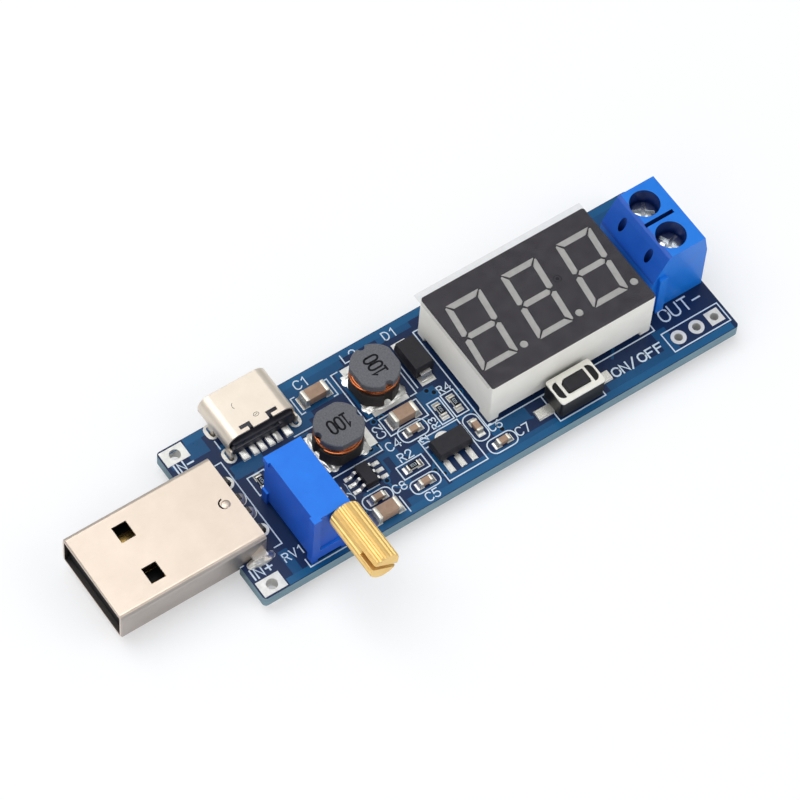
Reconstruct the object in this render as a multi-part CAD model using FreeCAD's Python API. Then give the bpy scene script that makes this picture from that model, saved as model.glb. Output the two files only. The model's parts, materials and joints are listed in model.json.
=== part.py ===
import FreeCAD, Part
import math
import os

# Buck-boost converter module: a circuit board with two supply connectors at one end, a
# three-digit meter, an adjuster, a push switch and a two-way screw terminal at the other.
# Each function below builds one piece, with the board's top face at z = 0 and the board's
# corner nearest the plug and the adjuster knob at x = 0, y = 0. Millimetres throughout.

Vector = FreeCAD.Vector
UP = Vector(0, 0, 1)
TO_X = Vector(1, 0, 0)
TO_Y = Vector(0, 1, 0)

# Circuit board, its length and width worked out further down from what stands on it
BOARD_THICKNESS = 1.6
BOARD_CORNER = 0.5
PAD_THICKNESS = 0.05
PIN_STUB = 1.2
LEAD_HOLE_CLEARANCE = 0.15
SOLDER_CONE_HEIGHT = 0.8
SOLDER_MARGIN = 0.35
SOLDER_TIP = 0.1
SOLDER_INSET = 0.08
PIN_DOME_HEIGHT = 0.5
LEG_MOUND_HEIGHT = 0.35
ROD_FACETS = 8
END_FACETS = 6

# Supply plug, let into a notch in the board's end
PLUG_WIDTH = 12.0
PLUG_HEIGHT = 4.5
PLUG_LENGTH = 18.8
PLUG_WALL = 0.3
PLUG_CORNER = 0.6
PLUG_SEAT = 3.5
PLUG_SINK = 1.17
PLUG_NOTCH_GAP = 0.05
PLUG_WINDOW_LENGTH = 1.85
PLUG_WINDOW_WIDTH = 2.2
PLUG_WINDOW_FROM_TIP = 6.05
PLUG_WINDOW_SPREAD = 6.0
PLUG_TONGUE_HEIGHT = 1.85
PLUG_TONGUE_WIDTH = 11.1
PLUG_TONGUE_SETBACK = 0.6
PLUG_REAR_BLOCK = 7.0
PLUG_CONTACT_WIDTH = 1.0
PLUG_CONTACT_THICKNESS = 0.2
PLUG_OUTER_CONTACT_SPREAD = 7.0
PLUG_INNER_CONTACT_SPREAD = 2.0
PLUG_PIN_RADIUS = 0.38
PLUG_PIN_OFFSET = 1.06
PLUG_PAD_RADIUS = 0.85
PLUG_LEG_X = 2.4
PLUG_LEG_LENGTH = 1.8
PLUG_LEG_OFFSET = 0.62
PLUG_LEG_SLOT_WIDTH = 0.6
PLUG_LEG_PAD_LENGTH = 3.6
PLUG_LEG_PAD_WIDTH = 1.0

# Reversible supply socket at the board's far edge
SOCKET_X = 11.05
SOCKET_WIDTH = 8.94
SOCKET_HEIGHT = 3.2
SOCKET_DEPTH = 6.2
SOCKET_OVERHANG = 1.6
SOCKET_WALL = 0.25
SOCKET_SIDE_RADIUS = 1.45
SOCKET_TONGUE_WIDTH = 6.7
SOCKET_TONGUE_HEIGHT = 0.7
SOCKET_BLOCK_DEPTH = 1.9
SOCKET_BLOCK_HEIGHT = 2.3
SOCKET_BLOCK_SETBACK = 0.2
SOCKET_HOOK_OFFSET = 1.05
SOCKET_HOOK_WIDTH = 0.48
SOCKET_HOOK_LENGTH = 1.4
SOCKET_HOOK_DEPTH = 0.95
SOCKET_HOOK_GAP = 0.03
SOCKET_TAIL_DEPTH = 0.45
SOCKET_CONTACT_SPREADS = (1.1, 3.1, 5.7)
SOCKET_INNER_LEAD = 0.7
SOCKET_OUTER_LEAD = 0.85
SOCKET_LEAD_LENGTH = 1.15
SOCKET_LEAD_THICKNESS = 0.2
SOCKET_LEG_SPREAD = 8.64
SOCKET_LEG_FRONT = 2.6
SOCKET_LEG_REAR = 6.3
SOCKET_LEG_LENGTH = 1.1
SOCKET_SLOT_LENGTH = 1.5
SOCKET_SLOT_WIDTH = 0.6
SOCKET_PAD_LENGTH = 2.1
SOCKET_PAD_WIDTH = 1.5

# Three-digit meter
METER_LENGTH = 22.5
METER_WIDTH = 14.06
METER_TOP = 7.41
METER_GAP = 1.26
METER_Y = 5.09
METER_FOOT_HEIGHT = 0.75
METER_FOOT_LENGTH = 1.4
METER_WALL = 1.0
METER_RECESS = 2.0
METER_FACE_THICKNESS = 0.25
METER_BOARD_THICKNESS = 0.8
DIGIT_PITCH = 7.62
DIGIT_HEIGHT = 9.3
DIGIT_WIDTH = 4.9
DIGIT_FIRST_X = 3.4
DIGIT_SLANT_DEG = 7.0
SEGMENT_WIDTH = 0.8
SEGMENT_GAP = 0.16
SEGMENT_LIFT = 0.02
POINT_RADIUS = 0.5
POINT_OFFSET = 2.8
METER_PIN_SIDE = 0.45
METER_PIN_PITCH = 2.54
METER_PINS_PER_ROW = 6
METER_ROW_SPACING = 10.16
FILM_THICKNESS = 0.06
FILM_OVERHANG = 0.75
FILM_SIDE_OVERHANG = 0.45

# Control chip under the meter
METER_CHIP_LENGTH = 6.5
METER_CHIP_WIDTH = 4.4
METER_CHIP_HEIGHT = 0.9
METER_CHIP_LEADS = 10
METER_CHIP_PITCH = 0.65

# Adjuster
ADJUSTER_X = 7.05
ADJUSTER_Y = 0.91
ADJUSTER_WIDTH = 4.65
ADJUSTER_LENGTH = 10.03
ADJUSTER_TOP = 8.9
ADJUSTER_STANDOFF = 0.5
ADJUSTER_RIB = 0.26
ADJUSTER_RIB_LENGTH = 1.0
ADJUSTER_FACE_RECESS = 0.3
KNOB_AXIS_X = 10.65
KNOB_AXIS_Z = 7.9
KNOB_RADIUS = 1.9
KNOB_LENGTH = 8.07
KNOB_GAP = 0.2
KNOB_RIBS = 18
KNOB_RIB_DEPTH = 0.15
KNOB_CHAMFER = 0.2
KNOB_SLOT_WIDTH = 0.6
KNOB_SLOT_DEPTH = 2.4
KNOB_SLOT_ANGLE_DEG = -32.8
WORM_RADIUS = 0.8
WORM_LENGTH = 8.2
WORM_CLEARANCE = 0.05
ROTOR_RADIUS = 2.6
ROTOR_THICKNESS = 1.0
ROTOR_TEETH = 26
ROTOR_TOOTH_DEPTH = 0.2
ROTOR_PIN_RADIUS = 0.7
ROTOR_GAP = 0.15
ADJUSTER_PIN_RADIUS = 0.28
ADJUSTER_PIN_PITCH = 2.54
ADJUSTER_PIN_REACH = 0.6

# Two-way screw terminal
TERMINAL_DEPTH = 7.6
TERMINAL_TOP = 10.0
TERMINAL_PITCH = 5.0
TERMINAL_POLES = 2
TERMINAL_Y = 7.05
TERMINAL_GAP = 1.17
TERMINAL_FROM_END = 0.27
TERMINAL_TOP_DEPTH = 5.1
TERMINAL_FRONT_LEAN = 0.7
TERMINAL_FRONT_DRAFT = 0.1
TERMINAL_WAIST_Z = 7.2
TERMINAL_SHOULDER_Z = 6.3
TERMINAL_SHOULDER_BEVEL = 0.4
TERMINAL_CROWN = ((0.45, 0.0), (0.05, 0.25), (-0.35, 0.9))
TERMINAL_SCREW_SETBACK = 3.73
TERMINAL_HEAD_HOLE_RADIUS = 1.8
TERMINAL_PROBE_RADIUS = 0.45
TERMINAL_PROBE_SETBACK = 0.95
TERMINAL_PROBE_FLOOR = 5.8
TERMINAL_ENTRY_WIDTH = 3.2
TERMINAL_ENTRY_HEIGHT = 3.5
TERMINAL_ENTRY_CORNER = 0.8
TERMINAL_GROOVE_DEPTH = 1.2
TERMINAL_GROOVE_OFFSET = 0.2
TERMINAL_KEY_SETBACK = 1.2
TERMINAL_KEY_LEAN = 0.15
TERMINAL_KEY_RISE = 0.5
TERMINAL_PIN_HIDDEN = 1.0
TERMINAL_GROOVE_LENGTH = 3.9
TERMINAL_GROOVE_WIDTH = 0.5
TERMINAL_KEY_WIDTH = 1.1
TERMINAL_KEY_DEPTH = 0.5
CAGE_LENGTH = 3.0
CAGE_WIDTH = 3.5
CAGE_WALL = 0.45
CAGE_FLOOR = 0.5
CAGE_ROOF = 0.9
CAGE_TRAVEL = 1.4
CAGE_CLEARANCE = 0.15
CAGE_BOTTOM_Z = 0.95
WIRE_GAP = 2.4
CLAMP_BAR_THICKNESS = 0.6
CLAMP_BAR_WIDTH = 2.1
SCREW_RADIUS = 1.2
SCREW_HEAD_RADIUS = 1.62
SCREW_HEAD_HEIGHT = 0.95
SCREW_SLOT_WIDTH = 0.45
SCREW_SLOT_DEPTH = 0.5
SCREW_CLEARANCE = 0.05
SCREW_COLLAR = 0.3
TERMINAL_PIN_SIDE = 0.8

# Push switch
SWITCH_FROM_METER_END = 7.09
SWITCH_Y = 1.05
SWITCH_LENGTH = 6.0
SWITCH_WIDTH = 3.5
SWITCH_TOP = 3.1
SWITCH_COVER = 0.2
SWITCH_CORNER = 0.35
BUTTON_LENGTH = 3.0
BUTTON_WIDTH = 1.75
BUTTON_CLIP = 0.45
BUTTON_CORNER = 0.12
BUTTON_RISE = 0.45
BUTTON_CLEARANCE = 0.08
BUTTON_FLANGE = 0.3
BUTTON_FLANGE_HEIGHT = 0.5
SWITCH_SIDE_WINDOW_WIDTH = 0.8
SWITCH_SIDE_WINDOW_LENGTH = 2.3
SWITCH_SIDE_WINDOW_INSET = 0.65
SWITCH_SIDE_WINDOW_ROUND = 0.7
SWITCH_SIDE_WINDOW_CORNER = 0.05
SWITCH_STAKE_DROP = 0.05
SWITCH_STAKE_GAP = 0.02
DOME_RADIUS = 1.2
DOME_RISE = 0.35
DOME_GAP = 0.02
SWITCH_LEAD_WIDTH = 1.2
SWITCH_LEAD_REACH = 2.1
SWITCH_LEAD_THICKNESS = 0.2

# Drum-core coils
COIL_RADIUS = 2.9
COIL_WIDTH = 5.25
COIL_TOP = 4.5
COIL_TOP_FLANGE = 1.0
COIL_LOWER_FLANGE = 2.1
COIL_NECK_RADIUS = 1.4
COIL_NOTCH_RADIUS = 0.5
COIL_BASE_PLATE = 0.1
WIRE_DIAMETER = 0.26
WINDING_RADIUS = 2.6
COIL_PLACES = {"1": (17.7, 12.0), "2": (25.35, 16.1)}
TURNED_COILS = {"2"}

# Pads under the coils: name, lowest corner and highest corner
COIL_PADS = (
    (14.8, 9.7, 16.6, 14.3),
    (19.7, 9.7, 21.6, 14.3),
    (23.2, 12.6, 27.9, 14.5),
    (23.2, 18.0, 27.5, 19.8),
)

# Chip capacitors and resistors: length, width, height, end length
LARGE_CAPACITOR = (3.2, 1.6, 1.35, 0.45)
SMALL_CAPACITOR = (1.6, 0.8, 0.75, 0.32)
SMALL_RESISTOR = (1.6, 0.8, 0.45, 0.3)
CHIP_END_PROUD = 0.03
CHIP_PAD_OVERHANG = 0.45
CHIP_PAD_INSET = 0.3
CHIP_PAD_MARGIN = 0.15
RESISTOR_GAP = 0.76
RESISTOR_TO_LEADS = 2.5
RESISTOR_1_Y = ADJUSTER_Y + ADJUSTER_LENGTH + RESISTOR_GAP + SMALL_RESISTOR[0] / 2
CHIPS = {
    "capacitor_1": (LARGE_CAPACITOR, 19.0, 18.55, 0),
    "capacitor_2": (LARGE_CAPACITOR, 25.85, 10.9, 0),
    "capacitor_3": (LARGE_CAPACITOR, 17.35, 1.75, 0),
    "capacitor_4": (SMALL_CAPACITOR, 25.8, 8.85, 0),
    "capacitor_5": (SMALL_CAPACITOR, 23.1, 2.6, 0),
    "capacitor_6": (SMALL_CAPACITOR, 31.95, 5.3, 90),
    "capacitor_7": (SMALL_CAPACITOR, 33.4, 2.2, 0),
    "capacitor_8": (SMALL_CAPACITOR, 17.55, 3.8, 0),
    "capacitor_9": (SMALL_CAPACITOR, 14.3, 6.2, 90),
    "resistor_1": (SMALL_RESISTOR, 7.9, RESISTOR_1_Y, 90),
    "resistor_2": (SMALL_RESISTOR, 23.1, 5.0, 0),
    "resistor_3": (SMALL_RESISTOR, 29.8, 9.25, 90),
    "resistor_4": (SMALL_RESISTOR, 31.75, 9.25, 90),
}

# Rectifier diode
DIODE_GAP = 1.35
DIODE_Y = 16.2
DIODE_LENGTH = 4.3
DIODE_WIDTH = 2.6
DIODE_HEIGHT = 2.15
DIODE_LEAD_WIDTH = 1.4
DIODE_LEAD_REACH = 0.5
DIODE_LEAD_THICKNESS = 0.2

# Converter chip with six leads and regulator chip with three leads and a tab
CONVERTER_X = 17.95
CONVERTER_Y = 6.7
CONVERTER_LENGTH = 2.9
CONVERTER_WIDTH = 1.6
CONVERTER_HEIGHT = 1.1
CONVERTER_LEAD_SPAN = 4.0
CONVERTER_LEAD_PITCH = 0.95
CONVERTER_LEAD_WIDTH = 0.4
REGULATOR_X = 28.05
REGULATOR_Y = 4.85
REGULATOR_LENGTH = 4.5
REGULATOR_WIDTH = 2.5
REGULATOR_HEIGHT = 1.5
REGULATOR_LEAD_PITCH = 1.5
REGULATOR_LEAD_WIDTH = 0.45
REGULATOR_LEAD_REACH = 1.6
REGULATOR_TAB_RADIUS = 0.8
REGULATOR_TAB_MARGIN = 0.2
CHIP_LEAD_THICKNESS = 0.15
CHIP_STANDOFF = 0.1

# Pin header holes and wire pads
HEADER_PITCH = 2.54
HEADER_COUNT = 3
HEADER_HOLE_RADIUS = 0.5
HEADER_PAD_RADIUS = 0.93
HEADER_FROM_END = 1.73
HEADER_Y = 2.54
WIRE_PAD_LENGTH = 3.0
WIRE_PAD_WIDTH = 2.1
WIRE_PAD_X = 0.2
WIRE_PAD_FROM_EDGE = 0.22
WIRE_HOLE_RADIUS = 0.67
WIRE_HOLE_X = 1.77

# Values worked out from the sizes above
DIODE_X = COIL_PLACES["2"][0] + COIL_RADIUS + DIODE_GAP + DIODE_WIDTH / 2
METER_X = DIODE_X + DIODE_WIDTH / 2 + METER_GAP
SWITCH_X = METER_X + SWITCH_FROM_METER_END
BOARD_LENGTH = METER_X + METER_LENGTH + TERMINAL_GAP + TERMINAL_DEPTH + TERMINAL_FROM_END
SOCKET_LEADS_Y = RESISTOR_1_Y + SMALL_RESISTOR[0] / 2 + RESISTOR_TO_LEADS
BOARD_WIDTH = SOCKET_LEADS_Y + SOCKET_LEAD_LENGTH + SOCKET_TAIL_DEPTH + SOCKET_DEPTH - SOCKET_OVERHANG
PLUG_Y = BOARD_WIDTH / 2
PLUG_REAR = PLUG_SEAT
PLUG_TIP = PLUG_REAR - PLUG_LENGTH
PLUG_BOTTOM = -PLUG_SINK
PLUG_TOP = PLUG_BOTTOM + PLUG_HEIGHT
PLUG_PIN_X = PLUG_REAR + PLUG_PIN_OFFSET
PLUG_NOTCH = PLUG_REAR + PLUG_NOTCH_GAP
SOCKET_MOUTH = BOARD_WIDTH + SOCKET_OVERHANG
SOCKET_REAR = SOCKET_MOUTH - SOCKET_DEPTH
SOCKET_LEAD_Y = SOCKET_REAR - SOCKET_TAIL_DEPTH
PIN_END_Z = -BOARD_THICKNESS - PIN_STUB
METER_MIDDLE_Y = METER_Y + METER_WIDTH / 2
METER_END_X = METER_X + METER_LENGTH
METER_BACK_Z = METER_FOOT_HEIGHT + METER_RECESS
METER_PIN_START = METER_X + (METER_LENGTH - METER_PIN_PITCH * (METER_PINS_PER_ROW - 1)) / 2
METER_CHIP_X = METER_X + METER_LENGTH / 2
KNOB_REAR_Y = ADJUSTER_Y + ADJUSTER_FACE_RECESS - KNOB_GAP
KNOB_TIP_Y = KNOB_REAR_Y - KNOB_LENGTH
ROTOR_X = KNOB_AXIS_X
ROTOR_Y = ADJUSTER_Y + ADJUSTER_LENGTH / 2
ROTOR_Z = KNOB_AXIS_Z - WORM_RADIUS - ROTOR_GAP - ROTOR_RADIUS
TERMINAL_FRONT = BOARD_LENGTH - TERMINAL_FROM_END
TERMINAL_BACK = TERMINAL_FRONT - TERMINAL_DEPTH
TERMINAL_SCREW_X = TERMINAL_FRONT - TERMINAL_SCREW_SETBACK
TERMINAL_END_Y = TERMINAL_Y + TERMINAL_PITCH * TERMINAL_POLES
CAGE_WINDOW = WIRE_GAP + CLAMP_BAR_THICKNESS + 2 * SCREW_CLEARANCE
CAGE_HEIGHT = CAGE_FLOOR + CAGE_WINDOW + CAGE_ROOF
CLAMP_BAR_Z = CAGE_BOTTOM_Z + CAGE_FLOOR + WIRE_GAP
SCREW_TIP_Z = CLAMP_BAR_Z + CLAMP_BAR_THICKNESS + SCREW_CLEARANCE
CAVITY_TOP_Z = CAGE_BOTTOM_Z + CAGE_HEIGHT + CAGE_TRAVEL + CAGE_CLEARANCE
SCREW_HEAD_Z = CAVITY_TOP_Z + SCREW_COLLAR + SCREW_CLEARANCE
TERMINAL_PIN_X = TERMINAL_SCREW_X - CAGE_LENGTH / 2 - CAGE_CLEARANCE - CLAMP_BAR_THICKNESS / 2
SWITCH_MIDDLE_X = SWITCH_X + SWITCH_LENGTH / 2
SWITCH_MIDDLE_Y = SWITCH_Y + SWITCH_WIDTH / 2
BUTTON_TOP = SWITCH_TOP + BUTTON_RISE
FLANGE_TOP_Z = SWITCH_TOP - SWITCH_COVER - 0.02
FLANGE_UNDER_Z = FLANGE_TOP_Z - BUTTON_FLANGE_HEIGHT
SWITCH_WELL_Z = FLANGE_UNDER_Z - DOME_GAP - DOME_RISE
HEADER_X = BOARD_LENGTH - HEADER_FROM_END - HEADER_PITCH * (HEADER_COUNT - 1)


def block(x0, x1, y0, y1, z0, z1):
    """Box between two opposite corners."""
    return Part.makeBox(x1 - x0, y1 - y0, z1 - z0, Vector(x0, y0, z0))


def block_at(x, y, z0, length, width, height):
    """Box centred on (x, y) that stands on z0."""
    return block(x - length / 2, x + length / 2, y - width / 2, y + width / 2, z0, z0 + height)


def upright(x, y, z0, z1, radius):
    """Vertical round rod."""
    return Part.makeCylinder(radius, z1 - z0, Vector(x, y, z0), UP)


def prism(points, sweep):
    """Solid swept from a closed flat outline."""
    return Part.Face(Part.makePolygon(points + points[:1])).extrude(sweep)


def fuse(parts):
    """One solid out of parts that meet."""
    return parts[0].multiFuse(parts[1:]).removeSplitter()


def cut(shape, tools):
    """Shape with every tool taken away."""
    return shape.cut(Part.makeCompound(tools))


def round_edges(shape, radius, direction, keep=lambda edge: True):
    """Round the straight edges that run along a direction."""
    chosen = [
        edge for edge in shape.Edges
        if edge.Curve.TypeId == "Part::GeomLine"
        and abs(abs(edge.tangentAt(edge.FirstParameter).dot(direction)) - 1) < 1e-6
        and keep(edge)
    ]
    return shape.makeFillet(radius, chosen)


def stadium(x, y, z0, length, width, height):
    """Flat-sided bar with rounded ends of a few facets, its long way along X."""
    reach = (length - width) / 2
    points = []
    for side in (1, -1):
        for i in range(END_FACETS + 1):
            angle = math.pi * (i / END_FACETS - 0.5)
            points.append(Vector(x + side * (reach + width / 2 * math.cos(angle)),
                                 y + side * width / 2 * math.sin(angle), z0))
    return prism(points, UP * height)


def faceted(x, y, z0, z1, lower_radius, upper_radius):
    """Upright rod or cone with a few flat sides."""
    rings = []
    for z, radius in ((z0, lower_radius), (z1, upper_radius)):
        corners = [
            Vector(x + radius * math.cos(angle), y + radius * math.sin(angle), z)
            for angle in (2 * math.pi * (i + 0.5) / ROD_FACETS for i in range(ROD_FACETS))
        ]
        rings.append(Part.makePolygon(corners + corners[:1]))
    return Part.makeLoft(rings, True, True)


def quarter_turn(shape, x, y):
    """Shape turned by 90 degrees about the vertical through (x, y)."""
    turned = shape.copy()
    turned.rotate(Vector(x, y, 0), UP, 90)
    return turned


def sheet_path(points, thickness, width, across):
    """Strip of sheet bent along a path, with its width centred across that path."""
    normals = [across.cross((end - start).normalize()) for start, end in zip(points, points[1:])]
    first, last = [], []
    for i, point in enumerate(points):
        before = normals[max(i - 1, 0)]
        after = normals[min(i, len(normals) - 1)]
        mitre = (before + after).normalize()
        offset = mitre * (thickness / 2 / mitre.dot(after))
        first.append(point + offset - across * (width / 2))
        last.append(point - offset - across * (width / 2))
    return prism(first + last[::-1], across * width)


def plug_pin_places():
    """Y of the four signal pins of the plug."""
    spreads = (PLUG_OUTER_CONTACT_SPREAD, PLUG_INNER_CONTACT_SPREAD)
    return sorted(PLUG_Y + side * spread / 2 for spread in spreads for side in (-1, 1))


def plug_leg_places():
    """Y of the two slots that hold the plug's legs."""
    return [PLUG_Y + side * (PLUG_WIDTH / 2 + PLUG_LEG_OFFSET) for side in (-1, 1)]


def socket_leg_places():
    """Centres of the four slots that hold the socket's legs."""
    return [
        (SOCKET_X + side * SOCKET_LEG_SPREAD / 2, SOCKET_MOUTH - depth)
        for side in (-1, 1) for depth in (SOCKET_LEG_FRONT, SOCKET_LEG_REAR)
    ]


def socket_leads():
    """Centre and width of each rear lead of the socket."""
    leads = []
    for spread in SOCKET_CONTACT_SPREADS:
        outer = spread == max(SOCKET_CONTACT_SPREADS)
        width = SOCKET_OUTER_LEAD if outer else SOCKET_INNER_LEAD
        leads += [(SOCKET_X + side * spread / 2, width) for side in (-1, 1)]
    return leads


def meter_pin_places():
    """Centres of the meter's pins, in two rows."""
    return [
        (METER_PIN_START + METER_PIN_PITCH * i, METER_MIDDLE_Y + side * METER_ROW_SPACING / 2)
        for side in (-1, 1) for i in range(METER_PINS_PER_ROW)
    ]


def adjuster_pin_places():
    """Centres of the adjuster's three pins."""
    x = ADJUSTER_X + ADJUSTER_WIDTH / 2
    return [(x, ROTOR_Y + ADJUSTER_PIN_PITCH * i) for i in (-1, 0, 1)]


def terminal_poles():
    """Y of each pole of the screw terminal."""
    return [TERMINAL_Y + TERMINAL_PITCH * (i + 0.5) for i in range(TERMINAL_POLES)]


def header_places():
    """Centres of the header holes."""
    return [(HEADER_X + HEADER_PITCH * i, HEADER_Y) for i in range(HEADER_COUNT)]


def wire_hole_places():
    """Centres of the two supply wire holes."""
    inset = WIRE_PAD_FROM_EDGE + WIRE_PAD_WIDTH / 2
    return [(WIRE_HOLE_X, inset), (WIRE_HOLE_X, BOARD_WIDTH - inset)]


def lead_hole_places():
    """Centre and pin radius of each soldered round pin."""
    places = [(x, y, METER_PIN_SIDE * 0.6) for x, y in meter_pin_places()]
    places += [(x, y, ADJUSTER_PIN_RADIUS) for x, y in adjuster_pin_places()]
    places += [(TERMINAL_PIN_X, y, TERMINAL_PIN_SIDE * 0.6) for y in terminal_poles()]
    places += [(PLUG_PIN_X, y, PLUG_PIN_RADIUS) for y in plug_pin_places()]
    return places


def board_holes(z0, z1):
    """Every hole and slot of the board, as rods and bars between two heights."""
    holes = [upright(x, y, z0, z1, HEADER_HOLE_RADIUS) for x, y in header_places()]
    holes += [upright(x, y, z0, z1, WIRE_HOLE_RADIUS) for x, y in wire_hole_places()]
    for x, y, r in lead_hole_places():
        holes.append(faceted(x, y, z0, z1, r + LEAD_HOLE_CLEARANCE, r + LEAD_HOLE_CLEARANCE))
    slot_length = PLUG_LEG_LENGTH + 2 * LEAD_HOLE_CLEARANCE
    for y in plug_leg_places():
        holes.append(stadium(PLUG_LEG_X, y, z0, slot_length, PLUG_LEG_SLOT_WIDTH, z1 - z0))
    for x, y in socket_leg_places():
        slot = stadium(x, y, z0, SOCKET_SLOT_LENGTH, SOCKET_SLOT_WIDTH, z1 - z0)
        holes.append(quarter_turn(slot, x, y))
    return holes


def circuit_board():
    """Board with its notch for the plug and every hole through it."""
    board = block(0, BOARD_LENGTH, 0, BOARD_WIDTH, -BOARD_THICKNESS, 0)
    board = round_edges(board, BOARD_CORNER, UP)
    half = PLUG_WIDTH / 2 + PLUG_NOTCH_GAP
    notch = block(-1, PLUG_NOTCH, PLUG_Y - half, PLUG_Y + half, -BOARD_THICKNESS - 1, 1)
    return cut(board, [notch] + board_holes(-BOARD_THICKNESS - 1, 1))


def chip_pads(size, x, y, turn):
    """The two solder pads of one chip part."""
    length, width, _, _ = size
    pad_length = CHIP_PAD_OVERHANG + CHIP_PAD_INSET + size[3] / 2
    middle = length / 2 + CHIP_PAD_OVERHANG - pad_length / 2
    pads = [
        block_at(x + side * middle, y, 0, pad_length, width + CHIP_PAD_MARGIN, PAD_THICKNESS)
        for side in (-1, 1)
    ]
    return [quarter_turn(pad, x, y) for pad in pads] if turn else pads


def top_pads():
    """Pads on the board's top face, before the holes are cut through them."""
    pads = [block(x0, x1, y0, y1, 0, PAD_THICKNESS) for x0, y0, x1, y1 in COIL_PADS]
    for size, x, y, turn in CHIPS.values():
        pads += chip_pads(size, x, y, turn)
    for side in (-1, 1):
        middle = DIODE_Y + side * (DIODE_LENGTH / 2 + DIODE_LEAD_REACH / 2)
        pads.append(block_at(DIODE_X, middle, 0, DIODE_LEAD_WIDTH + 0.5, 1.6, PAD_THICKNESS))
        for i in (-1, 0, 1):
            x = CONVERTER_X + side * (CONVERTER_LEAD_SPAN / 2 - 0.15)
            y = CONVERTER_Y + i * CONVERTER_LEAD_PITCH
            pads.append(block_at(x, y, 0, 0.9, CONVERTER_LEAD_WIDTH + 0.1, PAD_THICKNESS))
        lead_x = SWITCH_MIDDLE_X + side * (SWITCH_LENGTH / 2 + SWITCH_LEAD_REACH / 2)
        pads.append(block_at(lead_x, SWITCH_MIDDLE_Y, 0, SWITCH_LEAD_REACH, SWITCH_LEAD_WIDTH + 0.2,
                             PAD_THICKNESS))
    front = REGULATOR_Y - REGULATOR_WIDTH / 2 - REGULATOR_LEAD_REACH / 2
    for i in (-1, 0, 1):
        x = REGULATOR_X + i * REGULATOR_LEAD_PITCH
        pads.append(block_at(x, front, 0, 0.75, REGULATOR_LEAD_REACH, PAD_THICKNESS))
    tab_y = REGULATOR_Y + REGULATOR_WIDTH / 2 + 0.05
    pads.append(upright(REGULATOR_X, tab_y, 0, PAD_THICKNESS, REGULATOR_TAB_RADIUS + REGULATOR_TAB_MARGIN))
    for x, width in socket_leads():
        pads.append(block_at(x, SOCKET_LEAD_Y - SOCKET_LEAD_LENGTH / 2, 0, width + 0.05,
                             SOCKET_LEAD_LENGTH + 0.1, PAD_THICKNESS))
    for side in (-1, 1):
        for i in range(METER_CHIP_LEADS):
            x = METER_CHIP_X + METER_CHIP_PITCH * (i - (METER_CHIP_LEADS - 1) / 2)
            y = METER_MIDDLE_Y + side * (METER_CHIP_WIDTH / 2 + 0.65)
            pads.append(block_at(x, y, 0, 0.4, 0.9, PAD_THICKNESS))
    return pads


def hole_pads(z0):
    """Pads round the open header and wire holes."""
    pads = []
    side = 2 * HEADER_PAD_RADIUS
    for x, y in header_places()[:-1]:
        pads.append(upright(x, y, z0, z0 + PAD_THICKNESS, HEADER_PAD_RADIUS))
    x, y = header_places()[-1]
    pads.append(block_at(x, y, z0, side, side, PAD_THICKNESS))
    for _, y in wire_hole_places():
        middle = WIRE_PAD_X + WIRE_PAD_LENGTH / 2
        pads.append(block_at(middle, y, z0, WIRE_PAD_LENGTH, WIRE_PAD_WIDTH, PAD_THICKNESS))
    return pads


def leg_pads():
    """Pads round the pins and legs of the plug and the socket, on the top face."""
    pads = []
    for x, y in socket_leg_places():
        oval = stadium(x, y, 0, SOCKET_PAD_LENGTH, SOCKET_PAD_WIDTH, PAD_THICKNESS)
        pads.append(quarter_turn(oval, x, y))
    for y in plug_leg_places():
        pads.append(stadium(PLUG_LEG_X, y, 0, PLUG_LEG_PAD_LENGTH, PLUG_LEG_PAD_WIDTH, PAD_THICKNESS))
    pads += [upright(PLUG_PIN_X, y, 0, PAD_THICKNESS, PLUG_PAD_RADIUS) for y in plug_pin_places()]
    return pads


def board_pads():
    """Tinned copper pads, each a thin plate on the face of the board."""
    under = -BOARD_THICKNESS - PAD_THICKNESS
    pads = top_pads() + leg_pads() + hole_pads(0) + hole_pads(under)
    holes = Part.makeCompound(board_holes(under - 1, 1))
    half = PLUG_WIDTH / 2 + PLUG_NOTCH_GAP
    notch = block(-1, PLUG_NOTCH, PLUG_Y - half, PLUG_Y + half, under - 1, 1)
    edge = block(-1, 0, -1, BOARD_WIDTH + 1, under - 1, 1)
    return Part.makeCompound([pad.cut(holes).cut(notch).cut(edge) for pad in pads])


def solder_cone(x, y, pin_radius, pin):
    """Fillet of solder round a pin, under the board."""
    outer = pin_radius + LEAD_HOLE_CLEARANCE + SOLDER_MARGIN
    tip = -BOARD_THICKNESS - SOLDER_CONE_HEIGHT
    return faceted(x, y, tip, -BOARD_THICKNESS, pin_radius + SOLDER_TIP, outer).cut(pin)


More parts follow.
